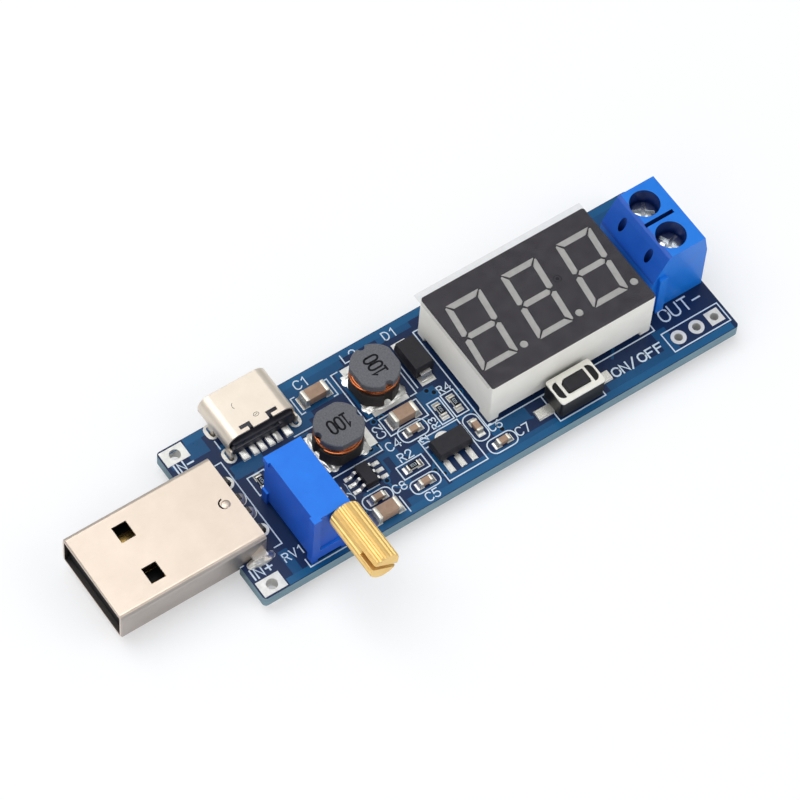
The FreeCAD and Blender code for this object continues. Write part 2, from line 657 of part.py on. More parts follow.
def solder_joints():
    """Solder at every soldered pin and leg."""
    joints = []
    for x, y in meter_pin_places():
        joints.append(solder_cone(x, y, METER_PIN_SIDE / 2, meter_pin(x, y)))
    for x, y in adjuster_pin_places():
        joints.append(solder_cone(x, y, ADJUSTER_PIN_RADIUS, adjuster_pin(x, y)))
    for y in terminal_poles():
        joints.append(solder_cone(TERMINAL_PIN_X, y, TERMINAL_PIN_SIDE / 2, terminal_pin(y)))
    for y in plug_pin_places():
        joints.append(solder_cone(PLUG_PIN_X, y, PLUG_PIN_RADIUS, plug_contact(y)))
    for y in plug_pin_places()[1:-1]:
        dome = faceted(PLUG_PIN_X, y, PAD_THICKNESS, PAD_THICKNESS + PIN_DOME_HEIGHT,
                       PLUG_PAD_RADIUS - SOLDER_INSET, PLUG_PIN_RADIUS)
        joints.append(dome.cut(plug_contact(y)))
    for side, y in zip((-1, 1), plug_leg_places()):
        length = PLUG_LEG_PAD_LENGTH - 2 * SOLDER_INSET
        width = PLUG_LEG_PAD_WIDTH - 2 * SOLDER_INSET
        mound = stadium(PLUG_LEG_X, y, PAD_THICKNESS, length, width, LEG_MOUND_HEIGHT)
        joints.append(mound.cut(plug_leg(side)))
    return Part.makeCompound(joints)


def plug_leg(side):
    """Leg of the plug's shell: out from the side wall and down through its slot."""
    wall_y = PLUG_Y + side * (PLUG_WIDTH / 2 - PLUG_WALL / 2)
    slot_y = PLUG_Y + side * (PLUG_WIDTH / 2 + PLUG_LEG_OFFSET)
    level = PAD_THICKNESS + PLUG_WALL / 2 + 0.4
    path = [
        Vector(PLUG_LEG_X, wall_y, level),
        Vector(PLUG_LEG_X, slot_y, level),
        Vector(PLUG_LEG_X, slot_y, -BOARD_THICKNESS - 0.4),
    ]
    return sheet_path(path, PLUG_WALL, PLUG_LEG_LENGTH, TO_X)


def plug_windows():
    """The latch windows in the plug's two broad faces."""
    x = PLUG_TIP + PLUG_WINDOW_FROM_TIP
    return [
        block_at(x, PLUG_Y + side * PLUG_WINDOW_SPREAD / 2, z, PLUG_WINDOW_LENGTH, PLUG_WINDOW_WIDTH,
                 PLUG_WALL + 0.2)
        for side in (-1, 1) for z in (PLUG_BOTTOM - 0.1, PLUG_TOP - PLUG_WALL - 0.1)
    ]


def plug_shell():
    """Folded steel shell of the plug, open at its tip, with windows, a stop tab and two legs."""
    half = PLUG_WIDTH / 2
    outer = block(PLUG_TIP, PLUG_REAR, PLUG_Y - half, PLUG_Y + half, PLUG_BOTTOM, PLUG_TOP)
    outer = round_edges(outer, PLUG_CORNER, TO_X)
    wall = PLUG_WALL
    inner = block(PLUG_TIP - 1, PLUG_REAR + 1, PLUG_Y - half + wall, PLUG_Y + half - wall,
                  PLUG_BOTTOM + wall, PLUG_TOP - wall)
    inner = round_edges(inner, PLUG_CORNER - wall, TO_X)
    lip = Part.makeBox(0.35, PLUG_WIDTH, PLUG_HEIGHT, Vector(PLUG_TIP, PLUG_Y - half, PLUG_BOTTOM))
    lip = lip.cut(block(PLUG_TIP - 1, PLUG_TIP + 1, PLUG_Y - half + wall + 0.12, PLUG_Y + half - wall - 0.12,
                        PLUG_BOTTOM + wall + 0.12, PLUG_TOP - wall - 0.12))
    shell = fuse([outer.cut(inner), lip.common(outer), plug_leg(-1), plug_leg(1)])
    tab_x = PLUG_REAR - 1.6
    ring = upright(tab_x, PLUG_Y, PLUG_TOP - wall - 0.1, PLUG_TOP + 0.1, 0.72)
    ring = ring.cut(upright(tab_x, PLUG_Y, PLUG_BOTTOM, PLUG_TOP + 1, 0.52))
    crescent = ring.common(block(tab_x - 1, tab_x, PLUG_Y - 1, PLUG_Y + 1, 0, PLUG_TOP + 1))
    front_edges = [
        edge for edge in outer.Edges
        if abs(edge.CenterOfMass.x - PLUG_TIP) < 1e-6
    ]
    nose = outer.makeChamfer(0.15, front_edges)
    return cut(shell.common(Part.makeCompound([nose]).fuse([plug_leg(-1), plug_leg(1)])),
               plug_windows() + [crescent])


def plug_insulator():
    """Moulded tongue and rear block inside the plug's shell."""
    gap = 0.02
    half = PLUG_TONGUE_WIDTH / 2
    floor = PLUG_BOTTOM + PLUG_WALL + gap
    tongue = block(PLUG_TIP + PLUG_TONGUE_SETBACK, PLUG_REAR, PLUG_Y - half, PLUG_Y + half,
                   floor, floor + PLUG_TONGUE_HEIGHT)
    rear = block(PLUG_REAR - PLUG_REAR_BLOCK, PLUG_REAR - 0.05, PLUG_Y - half, PLUG_Y + half,
                 floor, PLUG_TOP - PLUG_WALL - gap)
    body = fuse([tongue, rear])
    grooves = []
    for y in plug_pin_places():
        grooves.append(block(PLUG_TIP + PLUG_TONGUE_SETBACK + 0.6, PLUG_REAR + 1,
                             y - PLUG_CONTACT_WIDTH / 2 - 0.01, y + PLUG_CONTACT_WIDTH / 2 + 0.01,
                             floor + PLUG_TONGUE_HEIGHT - PLUG_CONTACT_THICKNESS, floor + PLUG_TONGUE_HEIGHT))
    return cut(body, grooves)


def plug_contact(y):
    """One contact strip of the plug with its tail bent down through the board."""
    floor = PLUG_BOTTOM + PLUG_WALL + 0.02
    top = floor + PLUG_TONGUE_HEIGHT
    level = top - PLUG_CONTACT_THICKNESS / 2
    path = [
        Vector(PLUG_TIP + PLUG_TONGUE_SETBACK + 0.7, y, level),
        Vector(PLUG_PIN_X, y, level),
        Vector(PLUG_PIN_X, y, PAD_THICKNESS + 0.2),
    ]
    strip = sheet_path(path, PLUG_CONTACT_THICKNESS, PLUG_CONTACT_WIDTH, TO_Y)
    inside = strip.common(block(PLUG_TIP, PLUG_REAR, y - 1, y + 1, floor, top + 0.1))
    narrow = strip.common(block(PLUG_REAR - 0.1, PLUG_PIN_X + 1, y - PLUG_PIN_RADIUS, y + PLUG_PIN_RADIUS,
                                0, top + 0.1))
    pin = faceted(PLUG_PIN_X, y, PIN_END_Z, PAD_THICKNESS + 0.3, PLUG_PIN_RADIUS, PLUG_PIN_RADIUS)
    return fuse([inside, narrow, pin])


def plug_contacts():
    """The plug's four contacts."""
    return Part.makeCompound([plug_contact(y) for y in plug_pin_places()])


def socket_profile(y0, y1, inset, height_inset):
    """Flat oval bar along Y, inset from the outside of the socket's shell."""
    x0 = SOCKET_X - SOCKET_WIDTH / 2 + inset
    x1 = SOCKET_X + SOCKET_WIDTH / 2 - inset
    bar = block(x0, x1, y0, y1, PAD_THICKNESS + height_inset, PAD_THICKNESS + SOCKET_HEIGHT - height_inset)
    return round_edges(bar, SOCKET_SIDE_RADIUS - inset, TO_Y)


def socket_leg(x, y):
    """One leg of the socket's shell, straight down through its slot."""
    return block_at(x, y, -BOARD_THICKNESS - 0.3, SOCKET_WALL, SOCKET_LEG_LENGTH,
                    BOARD_THICKNESS + 0.3 + SOCKET_HEIGHT / 2)


def socket_hooks(inset, z0, z1):
    """The two hooks in the rear edge of the socket's roof, each a stem with its foot turned outward."""
    hooks = []
    start = SOCKET_REAR - SOCKET_HOOK_DEPTH if inset == 0 else SOCKET_REAR + SOCKET_BLOCK_SETBACK
    end = SOCKET_REAR + SOCKET_HOOK_DEPTH
    for side in (-1, 1):
        root = SOCKET_X + side * SOCKET_HOOK_OFFSET
        bend = root + side * SOCKET_HOOK_WIDTH
        tip = root + side * SOCKET_HOOK_LENGTH
        x0, x1 = sorted((root + side * inset, bend - side * inset))
        stem = block(x0, x1, start, end - inset, z0, z1)
        x0, x1 = sorted((root + side * inset, tip - side * inset))
        foot = block(x0, x1, end - SOCKET_HOOK_WIDTH + inset, end - inset, z0, z1)
        hooks.append(fuse([stem, foot]))
    return hooks


def socket_shell():
    """Rolled steel shell of the socket with its four legs."""
    outer = socket_profile(SOCKET_REAR, SOCKET_MOUTH, 0, 0)
    inner = socket_profile(SOCKET_REAR - 1, SOCKET_MOUTH + 1, SOCKET_WALL, SOCKET_WALL)
    hollow = outer.cut(inner)
    legs = [socket_leg(x, y).cut(inner) for x, y in socket_leg_places()]
    mouth = [edge for edge in hollow.Edges if abs(edge.CenterOfMass.y - SOCKET_MOUTH) < 1e-6]
    hollow = hollow.makeChamfer(0.08, mouth)
    roof = PAD_THICKNESS + SOCKET_HEIGHT
    return cut(fuse([hollow] + legs), socket_hooks(0, roof - SOCKET_WALL - 0.2, roof + 1))


def socket_insulator():
    """Moulded rear block and tongue of the socket."""
    gap = 0.02
    block_front = SOCKET_REAR + SOCKET_BLOCK_DEPTH
    wall = SOCKET_WALL + gap
    plug = socket_profile(SOCKET_REAR + SOCKET_BLOCK_SETBACK, block_front, wall, wall)
    roof = PAD_THICKNESS + SOCKET_HEIGHT
    fillings = socket_hooks(SOCKET_HOOK_GAP, roof - SOCKET_WALL - 0.1, roof - SOCKET_HOOK_GAP)
    half = SOCKET_WIDTH / 2 - 0.55
    tail = block(SOCKET_X - half, SOCKET_X + half, SOCKET_LEAD_Y, SOCKET_REAR + 0.25,
                 PAD_THICKNESS + 0.35, PAD_THICKNESS + SOCKET_BLOCK_HEIGHT)
    tail = round_edges(tail, 0.25, TO_X,
                       lambda edge: edge.CenterOfMass.z > 1 and edge.CenterOfMass.y < SOCKET_REAR)
    middle = PAD_THICKNESS + SOCKET_HEIGHT / 2
    tongue = block(SOCKET_X - SOCKET_TONGUE_WIDTH / 2, SOCKET_X + SOCKET_TONGUE_WIDTH / 2,
                   block_front - 0.1, SOCKET_MOUTH - 0.6,
                   middle - SOCKET_TONGUE_HEIGHT / 2, middle + SOCKET_TONGUE_HEIGHT / 2)
    tongue = round_edges(tongue, 0.4, UP, lambda edge: edge.CenterOfMass.y > block_front)
    body = fuse([plug, tail, tongue] + fillings)
    foot_cuts = [socket_contact(x, width, 0.01) for x, width in socket_leads()]
    return cut(body, foot_cuts)


def socket_contact(x, width, grow=0.0):
    """One lead: along the tongue's underside, down the rear block and out onto its pad."""
    middle = PAD_THICKNESS + SOCKET_HEIGHT / 2
    t = SOCKET_LEAD_THICKNESS
    level = middle - SOCKET_TONGUE_HEIGHT / 2 - t / 2 + 0.15
    foot = PAD_THICKNESS + t / 2
    bend_y = SOCKET_LEAD_Y + t / 2 + 0.1
    path = [
        Vector(x, SOCKET_MOUTH - 1.1, level),
        Vector(x, bend_y, level),
        Vector(x, bend_y, foot),
        Vector(x, SOCKET_LEAD_Y - SOCKET_LEAD_LENGTH, foot),
    ]
    contact = sheet_path(path[:2], t, min(width, 0.6) + 2 * grow, TO_X)
    drop = sheet_path(path[1:], t, width + 2 * grow, TO_X)
    joint = Part.makeCylinder(t / 2, width + 2 * grow, path[1] - TO_X * (width / 2 + grow), TO_X)
    return fuse([contact, joint, drop])


def socket_contacts():
    """The socket's six leads."""
    return Part.makeCompound([socket_contact(x, width) for x, width in socket_leads()])


def meter_housing():
    """Moulded housing of the meter, open below, on four corner feet."""
    x0, x1, y0, y1 = METER_X, METER_END_X, METER_Y, METER_Y + METER_WIDTH
    body = block(x0, x1, y0, y1, 0, METER_TOP - METER_FACE_THICKNESS)
    foot = METER_FOOT_LENGTH
    gaps = [
        block(x0 + foot, x1 - foot, y0 - 1, y1 + 1, -1, METER_FOOT_HEIGHT),
        block(x0 - 1, x1 + 1, y0 + foot + 0.5, y1 - foot, -1, METER_FOOT_HEIGHT),
    ]
    wall = METER_WALL
    recess = block(x0 + wall, x1 - wall, y0 + wall, y1 - wall, -1, METER_BACK_Z)
    return cut(body, gaps + [recess])


def meter_board():
    """Carrier board of the light-emitting chips, in the back of the housing."""
    gap = 0.02
    wall = METER_WALL + gap
    return block(METER_X + wall, METER_END_X - wall, METER_Y + wall, METER_Y + METER_WIDTH - wall,
                 METER_BACK_Z - METER_BOARD_THICKNESS, METER_BACK_Z)


def meter_pin(x, y):
    """One square pin, from the carrier board down through the circuit board."""
    top = METER_BACK_Z - METER_BOARD_THICKNESS
    return block_at(x, y, PIN_END_Z, METER_PIN_SIDE, METER_PIN_SIDE, top - PIN_END_Z)


def meter_pins():
    """The meter's pins."""
    return Part.makeCompound([meter_pin(x, y) for x, y in meter_pin_places()])


def slanted(x, y):
    """Point of a digit leaned over, from a point of the upright digit about its middle."""
    return Vector(x + math.tan(math.radians(DIGIT_SLANT_DEG)) * y, y, 0)


def segment_outlines():
    """Outlines of the seven segments of one upright digit about its middle."""
    w, g = SEGMENT_WIDTH, SEGMENT_GAP
    x1, y1 = DIGIT_WIDTH / 2, DIGIT_HEIGHT / 2
    x0, xi, yi = -x1, DIGIT_WIDTH / 2 - SEGMENT_WIDTH, DIGIT_HEIGHT / 2 - SEGMENT_WIDTH
    top = [(x0 + g, y1), (x1 - g, y1), (xi - g, yi), (-xi + g, yi)]
    middle = [(-xi - w / 2 + g, 0), (-xi + g / 2, w / 2), (xi - g / 2, w / 2), (xi + w / 2 - g, 0),
              (xi - g / 2, -w / 2), (-xi + g / 2, -w / 2)]
    upper_right = [(x1, y1 - 1.5 * g), (x1, g + w / 4), (xi + w / 2, g), (xi, w / 2 + g / 2),
                   (xi, yi - g), (x1 - w / 4, y1 - g)]

    def mirrored(points, flip_x, flip_y):
        return [(-x if flip_x else x, -y if flip_y else y) for x, y in points]

    outlines = [top, mirrored(top, False, True), middle]
    outlines += [mirrored(upper_right, fx, fy) for fx in (False, True) for fy in (False, True)]
    return outlines


def digit_middles():
    """Middle of each digit on the meter's face."""
    return [(METER_X + DIGIT_FIRST_X + DIGIT_PITCH * i, METER_MIDDLE_Y) for i in range(3)]


def lit_prisms(z0, z1):
    """Segments and decimal points as upright prisms between two heights."""
    solids = []
    for x, y in digit_middles():
        for outline in segment_outlines():
            corners = [slanted(px, py) + Vector(x, y, z0) for px, py in outline]
            solids.append(prism(corners, UP * (z1 - z0)))
        low = -DIGIT_HEIGHT / 2 + POINT_RADIUS
        spot = slanted(POINT_OFFSET + 0.6, low) + Vector(x, y, 0)
        solids.append(upright(spot.x, spot.y, z0, z1, POINT_RADIUS))
    return solids


def meter_face():
    """Dark face sheet of the meter, pierced for the segments."""
    sheet = block(METER_X, METER_END_X, METER_Y, METER_Y + METER_WIDTH,
                  METER_TOP - METER_FACE_THICKNESS, METER_TOP)
    sheet = round_edges(sheet, 0.3, UP)
    return cut(sheet, lit_prisms(METER_TOP - METER_FACE_THICKNESS - 1, METER_TOP + 1))


def meter_segments():
    """Light windows that fill the holes of the face."""
    base = METER_TOP - METER_FACE_THICKNESS
    return Part.makeCompound(lit_prisms(base, METER_TOP - SEGMENT_LIFT))


def meter_film():
    """Clear film laid over the face, past one long edge and one end."""
    film = block(METER_X - FILM_SIDE_OVERHANG, METER_END_X, METER_Y + 0.3,
                 METER_Y + METER_WIDTH + FILM_OVERHANG, METER_TOP, METER_TOP + FILM_THICKNESS)
    return round_edges(film, 0.3, UP)


def gull_wing(x, y, away, width, reach, top_z, thickness):
    """Chip lead that leaves the body, bends down and rests on its pad."""
    foot = PAD_THICKNESS + thickness / 2
    bend = reach * 0.45
    across = TO_Y if abs(away.x) > 0.5 else TO_X
    start = Vector(x, y, 0)
    path = [
        start + UP * top_z,
        start + away * (bend * 0.5) + UP * top_z,
        start + away * bend + UP * foot,
        start + away * reach + UP * foot,
    ]
    return sheet_path(path, thickness, width, across)


def moulded_body(x, y, z0, length, width, height, taper):
    """Chip body with drafted sides above and below its parting line."""
    def ring(inset, z):
        half_x, half_y = length / 2 - inset, width / 2 - inset
        corners = [Vector(x + sx * half_x, y + sy * half_y, z) for sx, sy in
                   ((-1, -1), (1, -1), (1, 1), (-1, 1))]
        return Part.makePolygon(corners + corners[:1])
    middle = z0 + height * 0.45
    lower = Part.makeLoft([ring(taper, z0), ring(0, middle)], True, True)
    upper = Part.makeLoft([ring(0, middle), ring(taper, z0 + height)], True, True)
    return fuse([lower, upper])


def meter_chip():
    """Body of the chip that drives the meter."""
    return moulded_body(METER_CHIP_X, METER_MIDDLE_Y, PAD_THICKNESS + CHIP_STANDOFF, METER_CHIP_LENGTH,
                        METER_CHIP_WIDTH, METER_CHIP_HEIGHT, 0.1)


def meter_chip_leads():
    """Leads of the meter's chip, in two rows."""
    leads = []
    for side in (-1, 1):
        for i in range(METER_CHIP_LEADS):
            x = METER_CHIP_X + METER_CHIP_PITCH * (i - (METER_CHIP_LEADS - 1) / 2)
            y = METER_MIDDLE_Y + side * METER_CHIP_WIDTH / 2
            leads.append(gull_wing(x, y, TO_Y * side, 0.25, 1.0, 0.55, 0.12))
    return Part.makeCompound(leads)


def adjuster_cavity():
    """Space inside the adjuster for its worm, its wheel and the pin that the wheel turns on."""
    wheel = Part.makeCylinder(ROTOR_RADIUS + ROTOR_GAP, ROTOR_THICKNESS + 2 * ROTOR_GAP,
                              Vector(ROTOR_X - ROTOR_THICKNESS / 2 - ROTOR_GAP, ROTOR_Y, ROTOR_Z), TO_X)
    pin = Part.makeCylinder(ROTOR_PIN_RADIUS, 3 * ROTOR_THICKNESS,
                            Vector(ROTOR_X - 1.5 * ROTOR_THICKNESS, ROTOR_Y, ROTOR_Z), TO_X)
    bore = Part.makeCylinder(WORM_RADIUS + WORM_CLEARANCE, WORM_LENGTH + KNOB_GAP + WORM_CLEARANCE,
                             Vector(KNOB_AXIS_X, KNOB_REAR_Y, KNOB_AXIS_Z), TO_Y)
    return wheel.cut(pin), bore


def adjuster_housing():
    """Moulded box of the adjuster with its corner ribs, front recess and standoffs."""
    x0, x1 = ADJUSTER_X, ADJUSTER_X + ADJUSTER_WIDTH
    y0, y1 = ADJUSTER_Y, ADJUSTER_Y + ADJUSTER_LENGTH
    z0, z1 = ADJUSTER_STANDOFF, ADJUSTER_TOP
    body = block(x0, x1, y0, y1, z0, z1)
    ribs = [
        block(x0 - ADJUSTER_RIB, x0 + 0.5, y0, y0 + ADJUSTER_RIB_LENGTH, 0, z1),
        block(x0 - ADJUSTER_RIB, x0 + 0.5, y1 - ADJUSTER_RIB_LENGTH, y1, 0, 2.2),
        block(x0 - ADJUSTER_RIB, x0 + 0.5, y1 - ADJUSTER_RIB_LENGTH, y1, z1 - 0.8, z1),
        block(x1 - 1.0, x1, y0, y0 + ADJUSTER_RIB_LENGTH, 0, z0 + 0.5),
        block(x1 - 1.0, x1, y1 - ADJUSTER_RIB_LENGTH, y1, 0, z0 + 0.5),
    ]
    body = fuse([body] + ribs)
    front = block(x0 + 0.75, x1 + 1, y0 - 1, y0 + ADJUSTER_FACE_RECESS, z0 + 1.6, z1 + 1)
    wheel_space, bore = adjuster_cavity()
    pins = [
        faceted(x, y, -1, z0 + ADJUSTER_PIN_REACH, ADJUSTER_PIN_RADIUS, ADJUSTER_PIN_RADIUS)
        for x, y in adjuster_pin_places()
    ]
    return cut(body, [front, wheel_space, bore] + pins)


def adjuster_knob():
    """Brass knob with straight ribs and a driver slot, in one piece with its worm."""
    valley = KNOB_RADIUS - KNOB_RIB_DEPTH
    step = 2 * math.pi / KNOB_RIBS
    points = []
    for i in range(KNOB_RIBS):
        for offset, radius in ((-0.32, valley), (-0.14, KNOB_RADIUS), (0.14, KNOB_RADIUS), (0.32, valley)):
            angle = step * (i + offset)
            points.append(Vector(KNOB_AXIS_X + radius * math.cos(angle), KNOB_TIP_Y,
                                 KNOB_AXIS_Z + radius * math.sin(angle)))
    ribbed = prism(points, TO_Y * KNOB_LENGTH)
    rim = Part.makeCylinder(KNOB_RADIUS, KNOB_LENGTH - 2 * KNOB_CHAMFER,
                            Vector(KNOB_AXIS_X, KNOB_TIP_Y + KNOB_CHAMFER, KNOB_AXIS_Z), TO_Y)
    tip = Part.makeCone(KNOB_RADIUS - KNOB_CHAMFER, KNOB_RADIUS, KNOB_CHAMFER,
                        Vector(KNOB_AXIS_X, KNOB_TIP_Y, KNOB_AXIS_Z), TO_Y)
    rear = Part.makeCone(KNOB_RADIUS, KNOB_RADIUS - KNOB_CHAMFER, KNOB_CHAMFER,
                         Vector(KNOB_AXIS_X, KNOB_REAR_Y - KNOB_CHAMFER, KNOB_AXIS_Z), TO_Y)
    ribbed = ribbed.common(fuse([tip, rim, rear]))
    slot = block(KNOB_AXIS_X - KNOB_RADIUS - 1, KNOB_AXIS_X + KNOB_RADIUS + 1, KNOB_TIP_Y - 1,
                 KNOB_TIP_Y + KNOB_SLOT_DEPTH, KNOB_AXIS_Z - KNOB_SLOT_WIDTH / 2,
                 KNOB_AXIS_Z + KNOB_SLOT_WIDTH / 2)
    slot.rotate(Vector(KNOB_AXIS_X, 0, KNOB_AXIS_Z), TO_Y, -KNOB_SLOT_ANGLE_DEG)
    worm = Part.makeCylinder(WORM_RADIUS, WORM_LENGTH + 0.5,
                             Vector(KNOB_AXIS_X, KNOB_REAR_Y - 0.5, KNOB_AXIS_Z), TO_Y)
    return fuse([ribbed.cut(slot), worm])


def adjuster_wheel():
    """Toothed wheel that the worm turns, on its pin in the adjuster's housing."""
    points = []
    for i in range(2 * ROTOR_TEETH):
        angle = math.pi * i / ROTOR_TEETH
        radius = ROTOR_RADIUS - ROTOR_TOOTH_DEPTH * (i % 2)
        points.append(Vector(ROTOR_X - ROTOR_THICKNESS / 2, ROTOR_Y + radius * math.cos(angle),
                             ROTOR_Z + radius * math.sin(angle)))
    hole = Part.makeCylinder(ROTOR_PIN_RADIUS + WORM_CLEARANCE, ROTOR_THICKNESS + 2,
                             Vector(ROTOR_X - ROTOR_THICKNESS / 2 - 1, ROTOR_Y, ROTOR_Z), TO_X)
    return prism(points, TO_X * ROTOR_THICKNESS).cut(hole)


def adjuster_pin(x, y):
    """One round pin of the adjuster."""
    top = ADJUSTER_STANDOFF + ADJUSTER_PIN_REACH
    return faceted(x, y, PIN_END_Z, top, ADJUSTER_PIN_RADIUS, ADJUSTER_PIN_RADIUS)


def adjuster_pins():
    """The adjuster's three pins."""
    return Part.makeCompound([adjuster_pin(x, y) for x, y in adjuster_pin_places()])


def terminal_outline():
    """Side outline of the screw terminal, seen along Y."""
    top, front, back = TERMINAL_TOP, TERMINAL_FRONT, TERMINAL_BACK
    top_front = front - TERMINAL_FRONT_LEAN
    top_back = top_front - TERMINAL_TOP_DEPTH
    points = [(back, 0), (front, 0), (front - TERMINAL_FRONT_DRAFT, TERMINAL_WAIST_Z), (top_front, top)]
    points += [(top_back + ahead, top - drop) for ahead, drop in TERMINAL_CROWN]
    points += [
        (back + TERMINAL_FRONT_DRAFT, TERMINAL_SHOULDER_Z),
        (back, TERMINAL_SHOULDER_Z - TERMINAL_SHOULDER_BEVEL),
    ]
    return [Vector(x, TERMINAL_Y, z) for x, z in points]


def terminal_housing():
    """Moulded housing with a well, a cage space and a wire entry for each pole."""
    body = prism(terminal_outline(), TO_Y * (TERMINAL_END_Y - TERMINAL_Y))
    key_x = TERMINAL_BACK + TERMINAL_KEY_SETBACK
    lean = TERMINAL_KEY_LEAN
    key_top = TERMINAL_SHOULDER_Z + TERMINAL_KEY_RISE
    key = [
        Vector(key_x - TERMINAL_KEY_WIDTH / 2 + lean, TERMINAL_Y + 0.01, 0),
        Vector(key_x + TERMINAL_KEY_WIDTH / 2 - lean, TERMINAL_Y + 0.01, 0),
        Vector(key_x + TERMINAL_KEY_WIDTH / 2, TERMINAL_Y - TERMINAL_KEY_DEPTH, 0),
        Vector(key_x - TERMINAL_KEY_WIDTH / 2, TERMINAL_Y - TERMINAL_KEY_DEPTH, 0),
    ]
    body = fuse([body, prism(key, UP * key_top)])
    cuts = [prism([p + TO_Y * (TERMINAL_END_Y - TERMINAL_Y) for p in key], UP * (key_top + 0.1))]
    for y in terminal_poles():
        cuts += terminal_pole_space(y)
    groove_y = TERMINAL_Y + TERMINAL_PITCH * TERMINAL_POLES / 2
    cuts.append(block_at(TERMINAL_SCREW_X + TERMINAL_GROOVE_OFFSET, groove_y,
                         TERMINAL_TOP - TERMINAL_GROOVE_DEPTH, TERMINAL_GROOVE_LENGTH,
                         TERMINAL_GROOVE_WIDTH, 2 * TERMINAL_GROOVE_DEPTH))
    return cut(body, cuts)


def terminal_pole_space(y):
    """Everything that is hollow for one pole of the terminal."""
    x = TERMINAL_SCREW_X
    half_y = CAGE_WIDTH / 2 + CAGE_CLEARANCE
    back = x - CAGE_LENGTH / 2 - CAGE_CLEARANCE
    cage_space = block(back, x + CAGE_LENGTH / 2 + CAGE_CLEARANCE, y - half_y, y + half_y, -1, CAVITY_TOP_Z)
    head_well = upright(x, y, CAVITY_TOP_Z + SCREW_COLLAR, TERMINAL_TOP + 1, TERMINAL_HEAD_HOLE_RADIUS)
    throat = upright(x, y, CAVITY_TOP_Z - 0.1, TERMINAL_TOP, SCREW_RADIUS + CAGE_CLEARANCE)
    entry_low = CAGE_BOTTOM_Z + CAGE_FLOOR - 0.1
    entry = block(x, TERMINAL_FRONT + 1, y - TERMINAL_ENTRY_WIDTH / 2, y + TERMINAL_ENTRY_WIDTH / 2,
                  entry_low, entry_low + TERMINAL_ENTRY_HEIGHT)
    entry = round_edges(entry, TERMINAL_ENTRY_CORNER, TO_X)
    bar_slot = block(back - CLAMP_BAR_THICKNESS - 0.02, back + 0.1, y - CLAMP_BAR_WIDTH / 2 - 0.02,
                     y + CLAMP_BAR_WIDTH / 2 + 0.02, -1, CLAMP_BAR_Z + CLAMP_BAR_THICKNESS + 0.02)
    slope_x = TERMINAL_BACK + TERMINAL_PROBE_SETBACK
    probe = upright(slope_x, y, TERMINAL_PROBE_FLOOR, TERMINAL_TOP + 1, TERMINAL_PROBE_RADIUS)
    return [cage_space, head_well, throat, entry, bar_slot, probe]


def terminal_cage(y):
    """Clamp cage of one pole: a square steel sleeve with a threaded roof."""
    x = TERMINAL_SCREW_X
    z0 = CAGE_BOTTOM_Z
    outer = block_at(x, y, z0, CAGE_LENGTH, CAGE_WIDTH, CAGE_HEIGHT)
    outer = round_edges(outer, 0.3, TO_X)
    window = block_at(x, y, z0 + CAGE_FLOOR, CAGE_LENGTH + 2, CAGE_WIDTH - 2 * CAGE_WALL, CAGE_WINDOW)
    thread = upright(x, y, z0 + CAGE_FLOOR + CAGE_WINDOW - 0.1, z0 + CAGE_HEIGHT + 1,
                     SCREW_RADIUS + SCREW_CLEARANCE)
    return cut(outer, [window, thread])


def terminal_screw(y):
    """Clamp screw of one pole with a domed head, a slot and a cross recess."""
    x = TERMINAL_SCREW_X
    head_top = SCREW_HEAD_Z + SCREW_HEAD_HEIGHT
    dome_height = 0.25
    head = upright(x, y, SCREW_HEAD_Z, head_top - dome_height, SCREW_HEAD_RADIUS)
    dome = Part.makeCone(SCREW_HEAD_RADIUS, SCREW_HEAD_RADIUS - 1.6 * dome_height, dome_height,
                         Vector(x, y, head_top - dome_height))
    shank = upright(x, y, SCREW_TIP_Z, SCREW_HEAD_Z + 0.1, SCREW_RADIUS)
    floor = head_top - SCREW_SLOT_DEPTH
    slot = block_at(x, y, floor, 2 * SCREW_HEAD_RADIUS + 1, SCREW_SLOT_WIDTH, 1)
    cross = block_at(x, y, floor, SCREW_SLOT_WIDTH, 1.6 * SCREW_HEAD_RADIUS, 1)
    screw = cut(fuse([head, dome, shank]), [slot, cross])
    screw.rotate(Vector(x, y, 0), UP, 20 if y < TERMINAL_Y + TERMINAL_PITCH else 55)
    return screw


def terminal_pin(y):
    """Clamp bar and board pin of one pole, bent from one strip."""
    level = CLAMP_BAR_Z + CLAMP_BAR_THICKNESS / 2
    path = [
        Vector(TERMINAL_SCREW_X + CAGE_LENGTH / 2 + 0.2, y, level),
        Vector(TERMINAL_PIN_X, y, level),
        Vector(TERMINAL_PIN_X, y, PAD_THICKNESS),
    ]
    strip = sheet_path(path, CLAMP_BAR_THICKNESS, CLAMP_BAR_WIDTH, TO_Y)
    pin = block_at(TERMINAL_PIN_X, y, PIN_END_Z, CLAMP_BAR_THICKNESS, TERMINAL_PIN_SIDE,
                   TERMINAL_PIN_HIDDEN - PIN_END_Z)
    return fuse([strip, pin])


def terminal_pins():
    """Clamp bar and board pin of each pole."""
    return Part.makeCompound([terminal_pin(y) for y in terminal_poles()])


def switch_windows(inset, z0, z1):
    """The two side windows of the switch's cover, each rounded on its outer side."""
    windows = []
    for side in (-1, 1):
        x = SWITCH_MIDDLE_X + side * (SWITCH_LENGTH / 2 - SWITCH_SIDE_WINDOW_INSET)
        bar = block_at(x, SWITCH_MIDDLE_Y, z0, SWITCH_SIDE_WINDOW_WIDTH - 2 * inset,
                       SWITCH_SIDE_WINDOW_LENGTH - 2 * inset, z1 - z0)
        bar = round_edges(bar, SWITCH_SIDE_WINDOW_CORNER, UP,
                          lambda edge: side * (edge.CenterOfMass.x - x) < 0)
        windows.append(round_edges(bar, SWITCH_SIDE_WINDOW_ROUND, UP,
                                   lambda edge: side * (edge.CenterOfMass.x - x) > inset + 0.3))
    return windows


